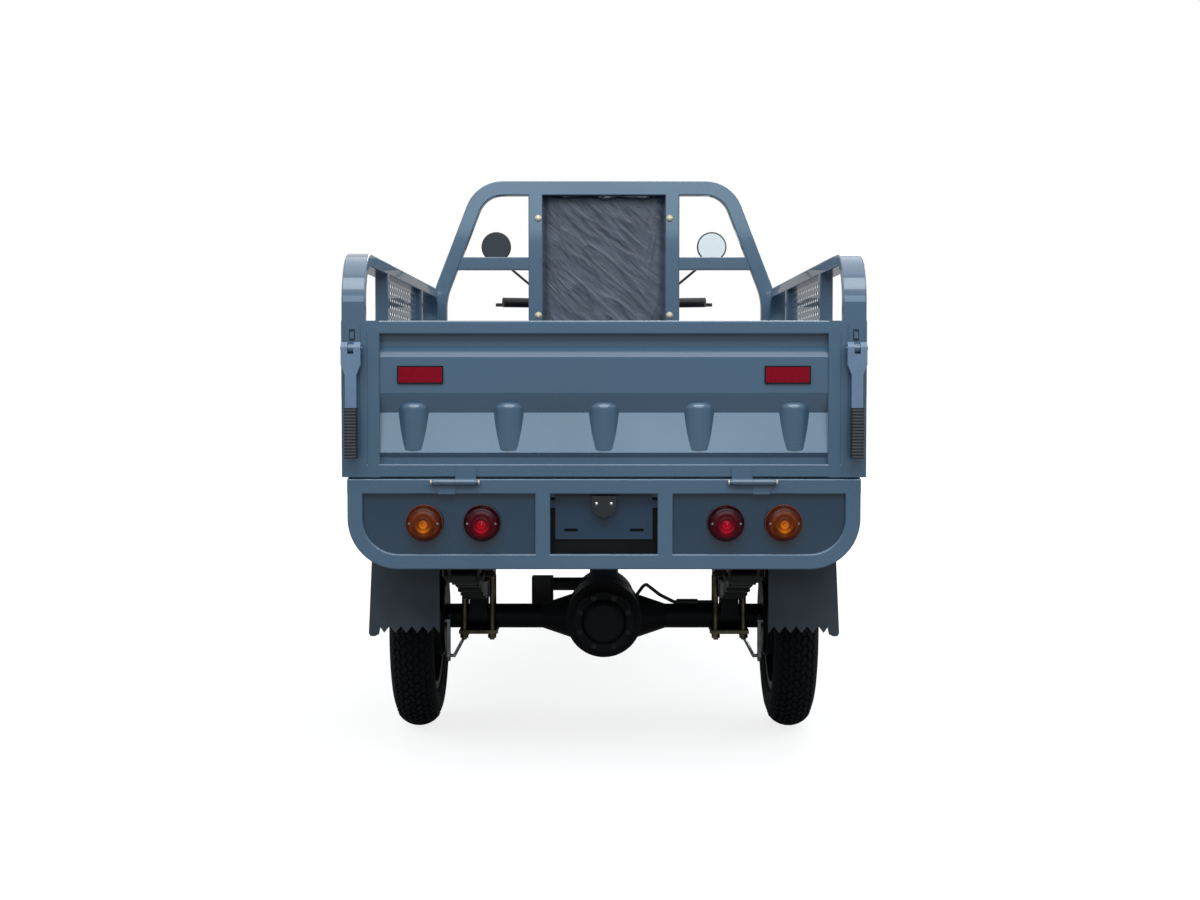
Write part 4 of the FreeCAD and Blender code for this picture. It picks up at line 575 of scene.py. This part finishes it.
def crown_slope(across):
    share = across / CROWN_HALF
    return math.atan(CROWN_DROP / CROWN_HALF * share / math.sqrt(1 - share * share))


def new_piece(name, form, material, body, smooth=True):
    mesh = bpy.data.meshes.new(name)
    form.to_mesh(mesh)
    form.free()
    for polygon in mesh.polygons:
        polygon.use_smooth = smooth
    mesh.materials.append(material)
    piece = bpy.data.objects.new(name, mesh)
    scene.collection.objects.link(piece)
    if body:
        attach(piece, body)
    return piece


def tyre_form(centre):
    # One half of the outer wall, its mirror image, and then the inner wall, as (across, radius).
    outer = [(0.0345, BEAD_RADIUS), (0.0345, 0.167), (0.0415, 0.1755), (0.046, 0.187), (0.0478, 0.197),
             (0.0474, 0.2025), (0.0478, 0.2048)]
    for across in (0.0472, 0.045, 0.041, 0.034, 0.025, 0.014, 0.0):
        outer.append((across, crown(across) - TREAD_DEPTH))
    profile = outer + [(-across, radius) for across, radius in outer[-2::-1]]
    profile += [(-0.026, BEAD_RADIUS), (-0.04, 0.2), (-0.02, 0.228), (0.02, 0.228), (0.04, 0.2),
                (0.026, BEAD_RADIUS)]
    form = bmesh.new()
    ring = [form.verts.new((across, 0.0, radius)) for across, radius in profile]
    edges = [form.edges.new((first, second)) for first, second in zip(ring, ring[1:] + ring[:1])]
    bmesh.ops.spin(form, geom=ring + edges, cent=(0, 0, 0), axis=(1, 0, 0), dvec=(0, 0, 0), angle=2 * math.pi,
                   steps=112, use_merge=True)
    bmesh.ops.remove_doubles(form, verts=form.verts, dist=1e-6)
    bmesh.ops.recalc_face_normals(form, faces=form.faces)
    step = 2 * math.pi / BLOCKS_AROUND
    blocks = []
    for index in range(BLOCKS_AROUND):
        for row, across in enumerate(BLOCK_ROWS):
            turn = Matrix.Rotation(step * (index + 0.5 * (row % 2)), 4, "X")
            lean = Matrix.Rotation(crown_slope(across), 4, "Y")
            skew = Matrix.Rotation(BLOCK_SKEW if row % 2 else -BLOCK_SKEW, 4, "Z")
            drop = Matrix.Translation((0.0, 0.0, -TREAD_DEPTH * 0.75))
            size = Matrix.Diagonal((BLOCK_WIDE, BLOCK_LONG, TREAD_DEPTH * 1.5, 1.0))
            place = Matrix.Translation((across, 0.0, crown(across)))
            made = bmesh.ops.create_cube(form, size=1.0, matrix=turn @ place @ lean @ drop @ skew @ size)
            blocks += made["verts"]
    block_edges = list({edge for vertex in blocks for edge in vertex.link_edges})
    bmesh.ops.bevel(form, geom=block_edges, offset=0.001, offset_type="OFFSET", segments=1, profile=0.5,
                    affect="EDGES", material=-1)
    bmesh.ops.translate(form, vec=centre, verts=form.verts)
    return form


for node, body in (("rear_tyre_left", "rear_wheel_left"), ("rear_tyre_right", "rear_wheel_right"),
                   ("front_tyre", "front_wheel")):
    low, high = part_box(node)
    tyre = new_piece("tread_" + node, tyre_form((low + high) / 2), tyre_rubber, body, smooth=False)
    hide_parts(node)
    print(tyre.name, len(tyre.data.polygons), "faces")

# %% [markdown]
# ## Leaf springs
# Five strips of spring steel lie on one another and bend as the axle rises.
# The solid is copied and cut at the axle into a front and a rear half. Extra cuts give them points to bend
# at.

# %% Spring halves
BEND_CUTS, BEND_STEP = 13, 0.03


def spring_half(name, keep_front):
    form = bmesh.new()
    form.from_mesh(nodes["leaf_springs"].data)
    bmesh.ops.remove_doubles(form, verts=form.verts, dist=1e-5)
    low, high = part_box("leaf_springs")
    middle = (low.y + high.y) / 2
    sign = 1 if keep_front else -1
    everything = list(form.verts) + list(form.edges) + list(form.faces)
    bmesh.ops.bisect_plane(form, geom=everything, plane_co=(0, middle, 0), plane_no=(0, sign, 0),
                           clear_inner=True)
    bmesh.ops.holes_fill(form, edges=[edge for edge in form.edges if edge.is_boundary])
    for step in range(1, BEND_CUTS + 1):
        place = middle + sign * step * BEND_STEP
        everything = list(form.verts) + list(form.edges) + list(form.faces)
        bmesh.ops.bisect_plane(form, geom=everything, plane_co=(0, place, 0), plane_no=(0, 1, 0))
    piece = new_piece(name, form, black, None, smooth=False)
    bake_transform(piece)
    return piece


front_springs = spring_half("leaf_springs_front", True)
rear_springs = spring_half("leaf_springs_rear", False)
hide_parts("leaf_springs")
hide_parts("leaf_springs")
print("spring halves:", len(front_springs.data.vertices), len(rear_springs.data.vertices), "vertices")

# %% [markdown]
# ## Backrest and seat
# Both are foam in a black plastic cover, and the backrest still wears a thin creased film.
# The foam's shape is remeshed and blown up a little by the cloth solver, held back by a cap on how far a
# point may move. Creases are then pushed into the mesh, because film folds catch the light at their edges.


# %% Film material
FOLD_LEAN = 47.0


def film_group():
    inputs = (("Color", COLOUR, (0.1, 0.1, 0.1, 1.0)), ("Painted Highlight Color", COLOUR, (0.2, 0.2, 0.2, 1.0)),
              ("Scale", NUMBER, 9.0))
    group, source, result = new_group("creased_film", inputs, SURFACE_OUT)
    place = group.nodes.new("ShaderNodeTexCoord")
    mapping = group.nodes.new("ShaderNodeMapping")
    mapping.vector_type = "TEXTURE"
    mapping.inputs["Rotation"].default_value = (0.0, math.radians(-FOLD_LEAN), 0.0)
    mapping.inputs["Scale"].default_value = (1.0, 1.0, 4.0)
    group.links.new(place.outputs["Object"], mapping.inputs["Vector"])
    folds = noise_node(group, mapping.outputs["Vector"], source.outputs["Scale"], 6.0)
    ridge = math_node(group, "SUBTRACT", 1.0, math_node(group, "ABSOLUTE", math_node(
        group, "MULTIPLY", math_node(group, "SUBTRACT", folds, 0.5), 5.0)))
    # Painted highlight: where the fold noise is high the film gets a lighter colour, as fold crests catching
    # light.
    colour = blend_colour(group, scale_between(group, folds, 0.35, 0.7, 0.0, 1.0),
                          source.outputs["Color"], source.outputs["Painted Highlight Color"])
    group.links.new(colour, result.inputs["Color"])
    rough = math_node(group, "ADD", 0.3, math_node(group, "MULTIPLY", folds, 0.2))
    group.links.new(rough, result.inputs["Roughness"])
    group.links.new(ridge, result.inputs["Height"])
    return group


creased_film = film_group()


def film_finish(name, colour, painted_highlight, scale, bump):
    material = bpy.data.materials.new(name)
    material.use_nodes = True
    tree = material.node_tree
    shader = tree.nodes["Principled BSDF"]
    effect = tree.nodes.new("ShaderNodeGroup")
    effect.node_tree = creased_film
    effect.inputs["Color"].default_value = colour
    effect.inputs["Painted Highlight Color"].default_value = painted_highlight
    effect.inputs["Scale"].default_value = scale
    relief = tree.nodes.new("ShaderNodeBump")
    relief.inputs["Strength"].default_value = bump
    relief.inputs["Distance"].default_value = 0.002
    tree.links.new(effect.outputs["Color"], shader.inputs["Base Color"])
    tree.links.new(effect.outputs["Roughness"], shader.inputs["Roughness"])
    tree.links.new(effect.outputs["Height"], relief.inputs["Height"])
    tree.links.new(relief.outputs["Normal"], shader.inputs["Normal"])
    return material


film = film_finish("creased_black_film", shade(66, 72, 84), shade(86, 92, 105), 64.0, 0.4)
vinyl = film_finish("seat_vinyl", shade(34, 35, 39), shade(46, 47, 52), 40.0, 0.12)
print("film and vinyl ready")


# %% Padded pieces
PAD_VOXEL = 0.0055
PAD_PRESSURE = 4.0
PAD_FRAMES = 20
PAD_CAP = 0.006


def padded_form(name, node, shrink, on_board=False):
    # A pad on a board keeps its outline, so only its swelling front to back is taken from the solver.
    form = bmesh.new()
    form.from_mesh(nodes[node].data)
    bmesh.ops.remove_doubles(form, verts=form.verts, dist=1e-5)
    low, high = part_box(node)
    middle = (low + high) / 2
    bmesh.ops.scale(form, vec=shrink, verts=form.verts, space=Matrix.Translation(-middle))
    mesh = bpy.data.meshes.new(name)
    form.to_mesh(mesh)
    form.free()
    piece = bpy.data.objects.new(name, mesh)
    scene.collection.objects.link(piece)
    bpy.context.view_layer.objects.active = piece
    mesh.remesh_voxel_size = PAD_VOXEL
    with bpy.context.temp_override(object=piece, active_object=piece, selected_objects=[piece]):
        bpy.ops.object.voxel_remesh()
    start = [vertex.co.copy() for vertex in piece.data.vertices]
    cloth = piece.modifiers.new("blow", "CLOTH")
    cloth.settings.use_pressure = True
    cloth.settings.uniform_pressure_force = PAD_PRESSURE
    cloth.settings.effector_weights.gravity = 0.0
    for step in range(1, PAD_FRAMES + 1):
        scene.frame_set(step)
    depsgraph = bpy.context.evaluated_depsgraph_get()
    blown = piece.evaluated_get(depsgraph).to_mesh()
    moved = [vertex.co.copy() for vertex in blown.vertices]
    piece.evaluated_get(depsgraph).to_mesh_clear()
    piece.modifiers.clear()
    scene.frame_set(1)
    for vertex, before, after in zip(piece.data.vertices, start, moved):
        shift = after - before
        if on_board:
            shift.x = shift.z = 0.0
        if shift.length > PAD_CAP:
            shift.length = PAD_CAP
        vertex.co = before + shift
    finer = bmesh.new()
    finer.from_mesh(piece.data)
    bmesh.ops.subdivide_edges(finer, edges=list(finer.edges), cuts=1, use_grid_fill=True, smooth=0.3)
    finer.to_mesh(piece.data)
    finer.free()
    for polygon in piece.data.polygons:
        polygon.use_smooth = True
    return piece, low, high


backrest, pad_low, pad_high = padded_form("backrest_cushion", "backrest_pad", (0.985, 0.9, 1.015),
                                          on_board=True)
seat, seat_low, seat_high = padded_form("seat_cushion_cover", "seat_cushion", (0.985, 0.985, 0.94))
print("padded forms:", len(backrest.data.vertices), "and", len(seat.data.vertices), "vertices")

# %% Creases of the film
UPRIGHT_IN = 0.170
FOLD_HALF = 0.15
FOLD_DEPTH, FINE_DEPTH, SWELL_DEPTH = 0.0020, 0.0008, 0.0009
EDGE_LEAN_LEFT, EDGE_LEAN_RIGHT = 14.0, -8.0
BULGE, REAR_REACH, REAR_GAP, FRONT_SHARE = 0.003, 0.008, 0.0004, 0.6


def crease_depth(spot, lean, seed):
    # Long creases that lean from the upright, with a slow swell under them and finer ones between.
    turn = math.radians(lean)
    across = spot.x * math.cos(turn) + spot.z * math.sin(turn) + 0.006 * math.sin(16.0 * spot.z + seed)
    along = spot.z * math.cos(turn) - spot.x * math.sin(turn)
    folds = 1.0 - abs(noise.noise(Vector((across * 34.0, seed, along * 5.0))))
    small = 1.0 - abs(noise.noise(Vector((across * 84.0, seed + 2.4, along * 11.0))))
    swell = noise.noise(Vector((across * 11.0, seed + 5.1, along * 3.0)))
    return FOLD_DEPTH * (folds ** 6 - 0.3) + FINE_DEPTH * (small ** 5 - 0.35) + SWELL_DEPTH * swell


for vertex in backrest.data.vertices:
    spot = vertex.co.copy()
    inside = 1.0 - min(1.0, (abs(spot.x) / UPRIGHT_IN) ** 10)
    middle = max(0.0, 1.0 - (abs(spot.x) / FOLD_HALF) ** 4)
    edge_lean = EDGE_LEAN_LEFT if spot.x < 0 else EDGE_LEAN_RIGHT
    depth = middle * crease_depth(spot, FOLD_LEAN, 0.3)
    depth += (1.0 - middle) * crease_depth(spot, edge_lean, 8.2)
    if spot.y < (pad_low.y + pad_high.y) / 2:
        limit = pad_low.y + REAR_GAP - REAR_REACH * inside
        vertex.co.y = max(spot.y - BULGE * inside - depth * inside, limit)
    else:
        vertex.co.y = spot.y + FRONT_SHARE * depth
backrest.data.materials.append(film)
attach(backrest, "chassis")
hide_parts("backrest_pad")
print("backrest:", len(backrest.data.vertices), "vertices")

# %% Channels of the seat
CHANNEL_STEP, CHANNEL_DEPTH, CHANNEL_SHARPNESS = 0.052, 0.004, 7.0
CHANNEL_HALF = 0.2
seat_middle = (seat_low + seat_high) / 2
for vertex in seat.data.vertices:
    spot = vertex.co
    if spot.z > seat_middle.z:
        along = (spot.y - seat_middle.y) / CHANNEL_STEP
        channel = math.exp(-((along - round(along)) * CHANNEL_SHARPNESS) ** 2)
        inside = max(0.0, 1.0 - (abs(spot.x) / CHANNEL_HALF) ** 8)
        vertex.co.z -= CHANNEL_DEPTH * channel * inside
    vertex.co.z = max(vertex.co.z, seat_low.z + 0.0005)
seat.data.materials.append(vinyl)
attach(seat, "seat")
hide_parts("seat_cushion")
print("seat:", len(seat.data.vertices), "vertices")

# %% [markdown]
# ## Mirrors, headlamp and plate lamp
# The stems carry round mirrors: a plastic shell with a slightly domed glass let into its face.
# A disc inset and pushed out a little makes the glass. Each glass colour is a painted reflection, one pale,
# one dark.


# %% Glass pieces
def plain_finish(name, colour, roughness, metallic=0.0):
    patch = tuple(value * 0.92 for value in colour[:3]) + (1.0,)
    return finish(name, paint_skin, colour, patch, roughness, 0.02, 12.0, 200, 0.01, metallic=metallic)


# Painted reflections: the glass colours stand in for what the mirrors reflect.
pale_painted_reflection = plain_finish("pale_painted_reflection_glass", shade(240, 247, 250), 0.3, metallic=0.12)
dark_painted_reflection = plain_finish("dark_painted_reflection_glass", shade(40, 46, 56), 0.5)
chrome = plain_finish("bright_rim", shade(205, 207, 210), 0.1, metallic=1.0)
clear = plain_finish("lamp_glass", shade(206, 213, 219), 0.06)


def disc_form(centre, facing, radius, dome, thickness):
    # A domed disc: a circle with two insets, its middle pushed out, given a back by extrusion.
    form = bmesh.new()
    bmesh.ops.create_circle(form, cap_ends=True, segments=48, radius=radius)
    face = form.faces[:][0]
    if face.normal.z < 0:
        bmesh.ops.reverse_faces(form, faces=[face])
    for share in (0.15, 0.3):
        bmesh.ops.inset_region(form, faces=[face], thickness=radius * share, depth=dome / 2)
    rim = [edge for edge in form.edges if edge.is_boundary]
    back = bmesh.ops.extrude_edge_only(form, edges=rim)
    back_verts = [item for item in back["geom"] if isinstance(item, bmesh.types.BMVert)]
    bmesh.ops.translate(form, vec=(0, 0, -thickness), verts=back_verts)
    bmesh.ops.holes_fill(form, edges=[edge for edge in form.edges if edge.is_boundary])
    bmesh.ops.recalc_face_normals(form, faces=form.faces)
    turn = Vector((0, 0, 1)).rotation_difference(Vector(facing)).to_matrix().to_4x4()
    bmesh.ops.transform(form, matrix=Matrix.Translation(centre) @ turn, verts=form.verts)
    return form


MIRROR_RIM = 0.0045
mirrors = (("left", dark_painted_reflection, "black_plastic"), ("right", pale_painted_reflection, "aluminium"))
for side, glass_finish, slot in mirrors:
    low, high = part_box("mirror_" + side)
    middle = (low + high) / 2
    radius = (high.x - low.x) / 2 - MIRROR_RIM
    form = disc_form((middle.x, low.y + 0.0006, middle.z), (0, -1, 0), radius, 0.0012, 0.002)
    glass = new_piece("mirror_face_" + side, form, glass_finish, "mirror_" + side, smooth=False)
    print(glass.name, "radius", round(radius, 4))


def ring_form(centre, facing, outer, inner, depth):
    # A flat ring with rounded edges, spun from a small square profile.
    form = bmesh.new()
    corners = [(inner, 0.0), (outer, 0.0), (outer, depth), (inner, depth)]
    profile = [form.verts.new((radius, 0.0, rise)) for radius, rise in corners]
    edges = [form.edges.new((first, second)) for first, second in zip(profile, profile[1:] + profile[:1])]
    bmesh.ops.spin(form, geom=profile + edges, cent=(0, 0, 0), axis=(0, 0, 1), dvec=(0, 0, 0),
                   angle=2 * math.pi, steps=48, use_merge=True)
    bmesh.ops.remove_doubles(form, verts=form.verts, dist=1e-6)
    bmesh.ops.recalc_face_normals(form, faces=form.faces)
    sharp = [edge for edge in form.edges if edge.calc_face_angle(0) > 1.0]
    bmesh.ops.bevel(form, geom=sharp, offset=min(depth, outer - inner) * 0.3, offset_type="OFFSET",
                    segments=2, profile=0.5, affect="EDGES", material=-1)
    turn = Vector((0, 0, 1)).rotation_difference(Vector(facing)).to_matrix().to_4x4()
    bmesh.ops.transform(form, matrix=Matrix.Translation(centre) @ turn, verts=form.verts)
    return form


BOWL_RADIUS = 0.075
headlamp_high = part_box("headlamp")[1]
headlamp_z = headlamp_high.z - BOWL_RADIUS
lamp_dome = disc_form((0.0, headlamp_high.y - 0.0048, headlamp_z), (0, 1, 0), 0.0685, 0.0056, 0.002)
new_piece("headlamp_glass", lamp_dome, clear, "steering")
lamp_band = ring_form((0.0, headlamp_high.y - 0.0065, headlamp_z), (0, 1, 0), 0.0745, 0.066, 0.006)
new_piece("headlamp_rim", lamp_band, chrome, "steering")
PLATE_SCREW_X = 0.0145
plate_low, plate_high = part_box("plate_holder")
for side, across in (("left", -PLATE_SCREW_X), ("right", PLATE_SCREW_X)):
    spot = (across, plate_low.y - 0.0242, plate_high.z - 0.019)
    screw_head = disc_form(spot, (0, -1, 0), 0.0032, 0.0012, 0.0015)
    new_piece("plate_lamp_screw_" + side, screw_head, chrome, "chassis")
print("mirror and lamp glass set")

# %% [markdown]
# ## Small hardware
# Bolts, wheel nuts and lamp rims are small, but they tell the eye how large the vehicle is.
# A six-sided cone with hardly any taper is a bolt head, a flat round one is its washer, and a bevel softens
# their edges.


# %% Bolt heads
def bolt_heads(places, facing, radius, height):
    form = bmesh.new()
    turn = Vector((0, 0, 1)).rotation_difference(Vector(facing)).to_matrix().to_4x4()
    for place in places:
        shift = Matrix.Translation(Vector(place) + Vector(facing) * (height / 2))
        washer = Matrix.Translation(Vector(place) + Vector(facing) * (height * 0.15))
        bmesh.ops.create_cone(form, cap_ends=True, segments=6, radius1=radius, radius2=radius * 0.96,
                              depth=height, matrix=shift @ turn)
        bmesh.ops.create_cone(form, cap_ends=True, segments=20, radius1=radius * 1.3, radius2=radius * 1.3,
                              depth=height * 0.3, matrix=washer @ turn)
    bmesh.ops.bevel(form, geom=list(form.edges), offset=height * 0.1, offset_type="OFFSET", segments=1,
                    profile=0.5, affect="EDGES", material=-1)
    return form


def around(centre, axis, radius, count, first=0.0):
    spots = []
    for index in range(count):
        angle = first + 2 * math.pi * index / count
        if axis == "Y":
            step = Vector((math.cos(angle), 0.0, math.sin(angle)))
        else:
            step = Vector((0.0, math.cos(angle), math.sin(angle)))
        spots.append(Vector(centre) + step * radius)
    return spots


FLANGE_STEP, COVER_CIRCLE = 0.010, 0.0575
HUB_FACE, NUT_CIRCLE = 0.411, 0.052
low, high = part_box("diff_cover")
cover = Vector((0.0, high.y - FLANGE_STEP, (low.z + high.z) / 2))
cover_bolts = bolt_heads(around(cover, "Y", COVER_CIRCLE, 8, 0.39), (0, -1, 0), 0.0055, 0.006)
new_piece("diff_cover_bolts", cover_bolts, black, "rear_axle", smooth=False)
for side, sign in (("left", -1), ("right", 1)):
    low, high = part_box("rear_tyre_" + side)
    hub = (low + high) / 2
    face = Vector((sign * HUB_FACE, hub.y, hub.z))
    wheel_nuts = bolt_heads(around(face, "X", NUT_CIRCLE, 5), (sign, 0, 0), 0.0085, 0.011)
    new_piece("wheel_nuts_" + side, wheel_nuts, steel, "rear_wheel_" + side, smooth=False)
print("cover bolts and wheel nuts placed")

# %% Lamp rims, lamp screws and hinge pins
RIM_OUTER, RIM_INNER, RIM_DEEP = 0.0364, 0.0346, 0.007
SCREW_X, SCREW_OUT = 0.0275, 0.0168
PIN_RADIUS, PIN_SPAN = 0.0065, 0.094
amber_low, amber_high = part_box("lamp_lens_amber")
red_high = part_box("lamp_lens_red")[1]
lamp_radius = (amber_high.z - amber_low.z) / 2
lamp_z = (amber_low.z + amber_high.z) / 2
amber_rim = plain_finish("amber_rim", shade(108, 42, 14), 0.3)
red_rim = plain_finish("red_rim", shade(52, 5, 16), 0.3)
for name, lens_outer, rim in (("amber", amber_high.x, amber_rim), ("red", red_high.x, red_rim)):
    for side, sign in (("left", -1), ("right", 1)):
        middle = Vector((sign * (lens_outer - lamp_radius), amber_high.y, lamp_z))
        rim_form = ring_form(middle, (0, -1, 0), RIM_OUTER, RIM_INNER, RIM_DEEP)
        new_piece(f"lamp_rim_{name}_{side}", rim_form, rim, "chassis")
        spots = [middle + Vector((across, -SCREW_OUT, 0.0)) for across in (-SCREW_X, SCREW_X)]
        screws = bolt_heads(spots, (0, -1, 0), 0.0026, 0.006)
        new_piece(f"lamp_screws_{name}_{side}", screws, steel, "chassis", smooth=False)
hinge_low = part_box("hinge_upper")[0]
pin_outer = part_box("hinge_lower")[1].x
pin_y, pin_z = hinge_low.y + PIN_RADIUS, hinge_low.z + PIN_RADIUS
for side, sign in (("left", -1), ("right", 1)):
    for name, reach, facing in (("outer", pin_outer, 1), ("inner", pin_outer - PIN_SPAN, -1)):
        form = disc_form((sign * reach, pin_y, pin_z), (sign * facing, 0, 0), 0.0052, 0.0016, 0.0035)
        new_piece(f"hinge_pin_head_{name}_{side}", form, pale_zinc, "chassis")
print("lamp rims, screws and pin heads placed")

# %% [markdown]
# ## Dark sheet behind the number plate
# A dark sheet closes the opening behind the plate holder: painted shade, where the opening is in shadow.
# It is a thin block whose rear face is inset and pressed in, as a moulded cover is.

# %% Sheet of painted shade
SHADE_SHEET_WIDE, SHADE_SHEET_THICK, SHADE_SHEET_HIGH = 0.254, 0.0025, 0.128
SHADE_SHEET_RISE, SHADE_SHEET_GAP = 0.073, 0.0008
rear_low, rear_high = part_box("rear_frame")
shade_sheet_y = max(rear_high.y, plate_high.y) + SHADE_SHEET_GAP
shade_sheet_form = bmesh.new()
shade_sheet_size = Matrix.Diagonal((SHADE_SHEET_WIDE, SHADE_SHEET_THICK, SHADE_SHEET_HIGH, 1.0))
shade_sheet_place = Matrix.Translation((0.0, shade_sheet_y + SHADE_SHEET_THICK / 2, rear_low.z + SHADE_SHEET_RISE))
bmesh.ops.create_cube(shade_sheet_form, size=1.0, matrix=shade_sheet_place @ shade_sheet_size)
rear_face = [face for face in shade_sheet_form.faces if face.normal.y < -0.9]
bmesh.ops.inset_region(shade_sheet_form, faces=rear_face, thickness=0.012, depth=-0.0008)
bmesh.ops.bevel(shade_sheet_form, geom=list(shade_sheet_form.edges), offset=0.0003, offset_type="OFFSET", segments=1,
                profile=0.5, affect="EDGES", material=-1)
# Painted shade: a dark sheet put in the plate opening where there is shadow.
new_piece("plate_opening_shade_sheet", shade_sheet_form, axle_black, "chassis", smooth=False)
print("cover set behind the plate, top at", round(rear_low.z + SHADE_SHEET_RISE + SHADE_SHEET_HIGH / 2, 3))

# %% The sizes and the end
bpy.context.view_layer.update()
low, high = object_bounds()
print("visual box", [round(value, 4) for value in low], [round(value, 4) for value in high])
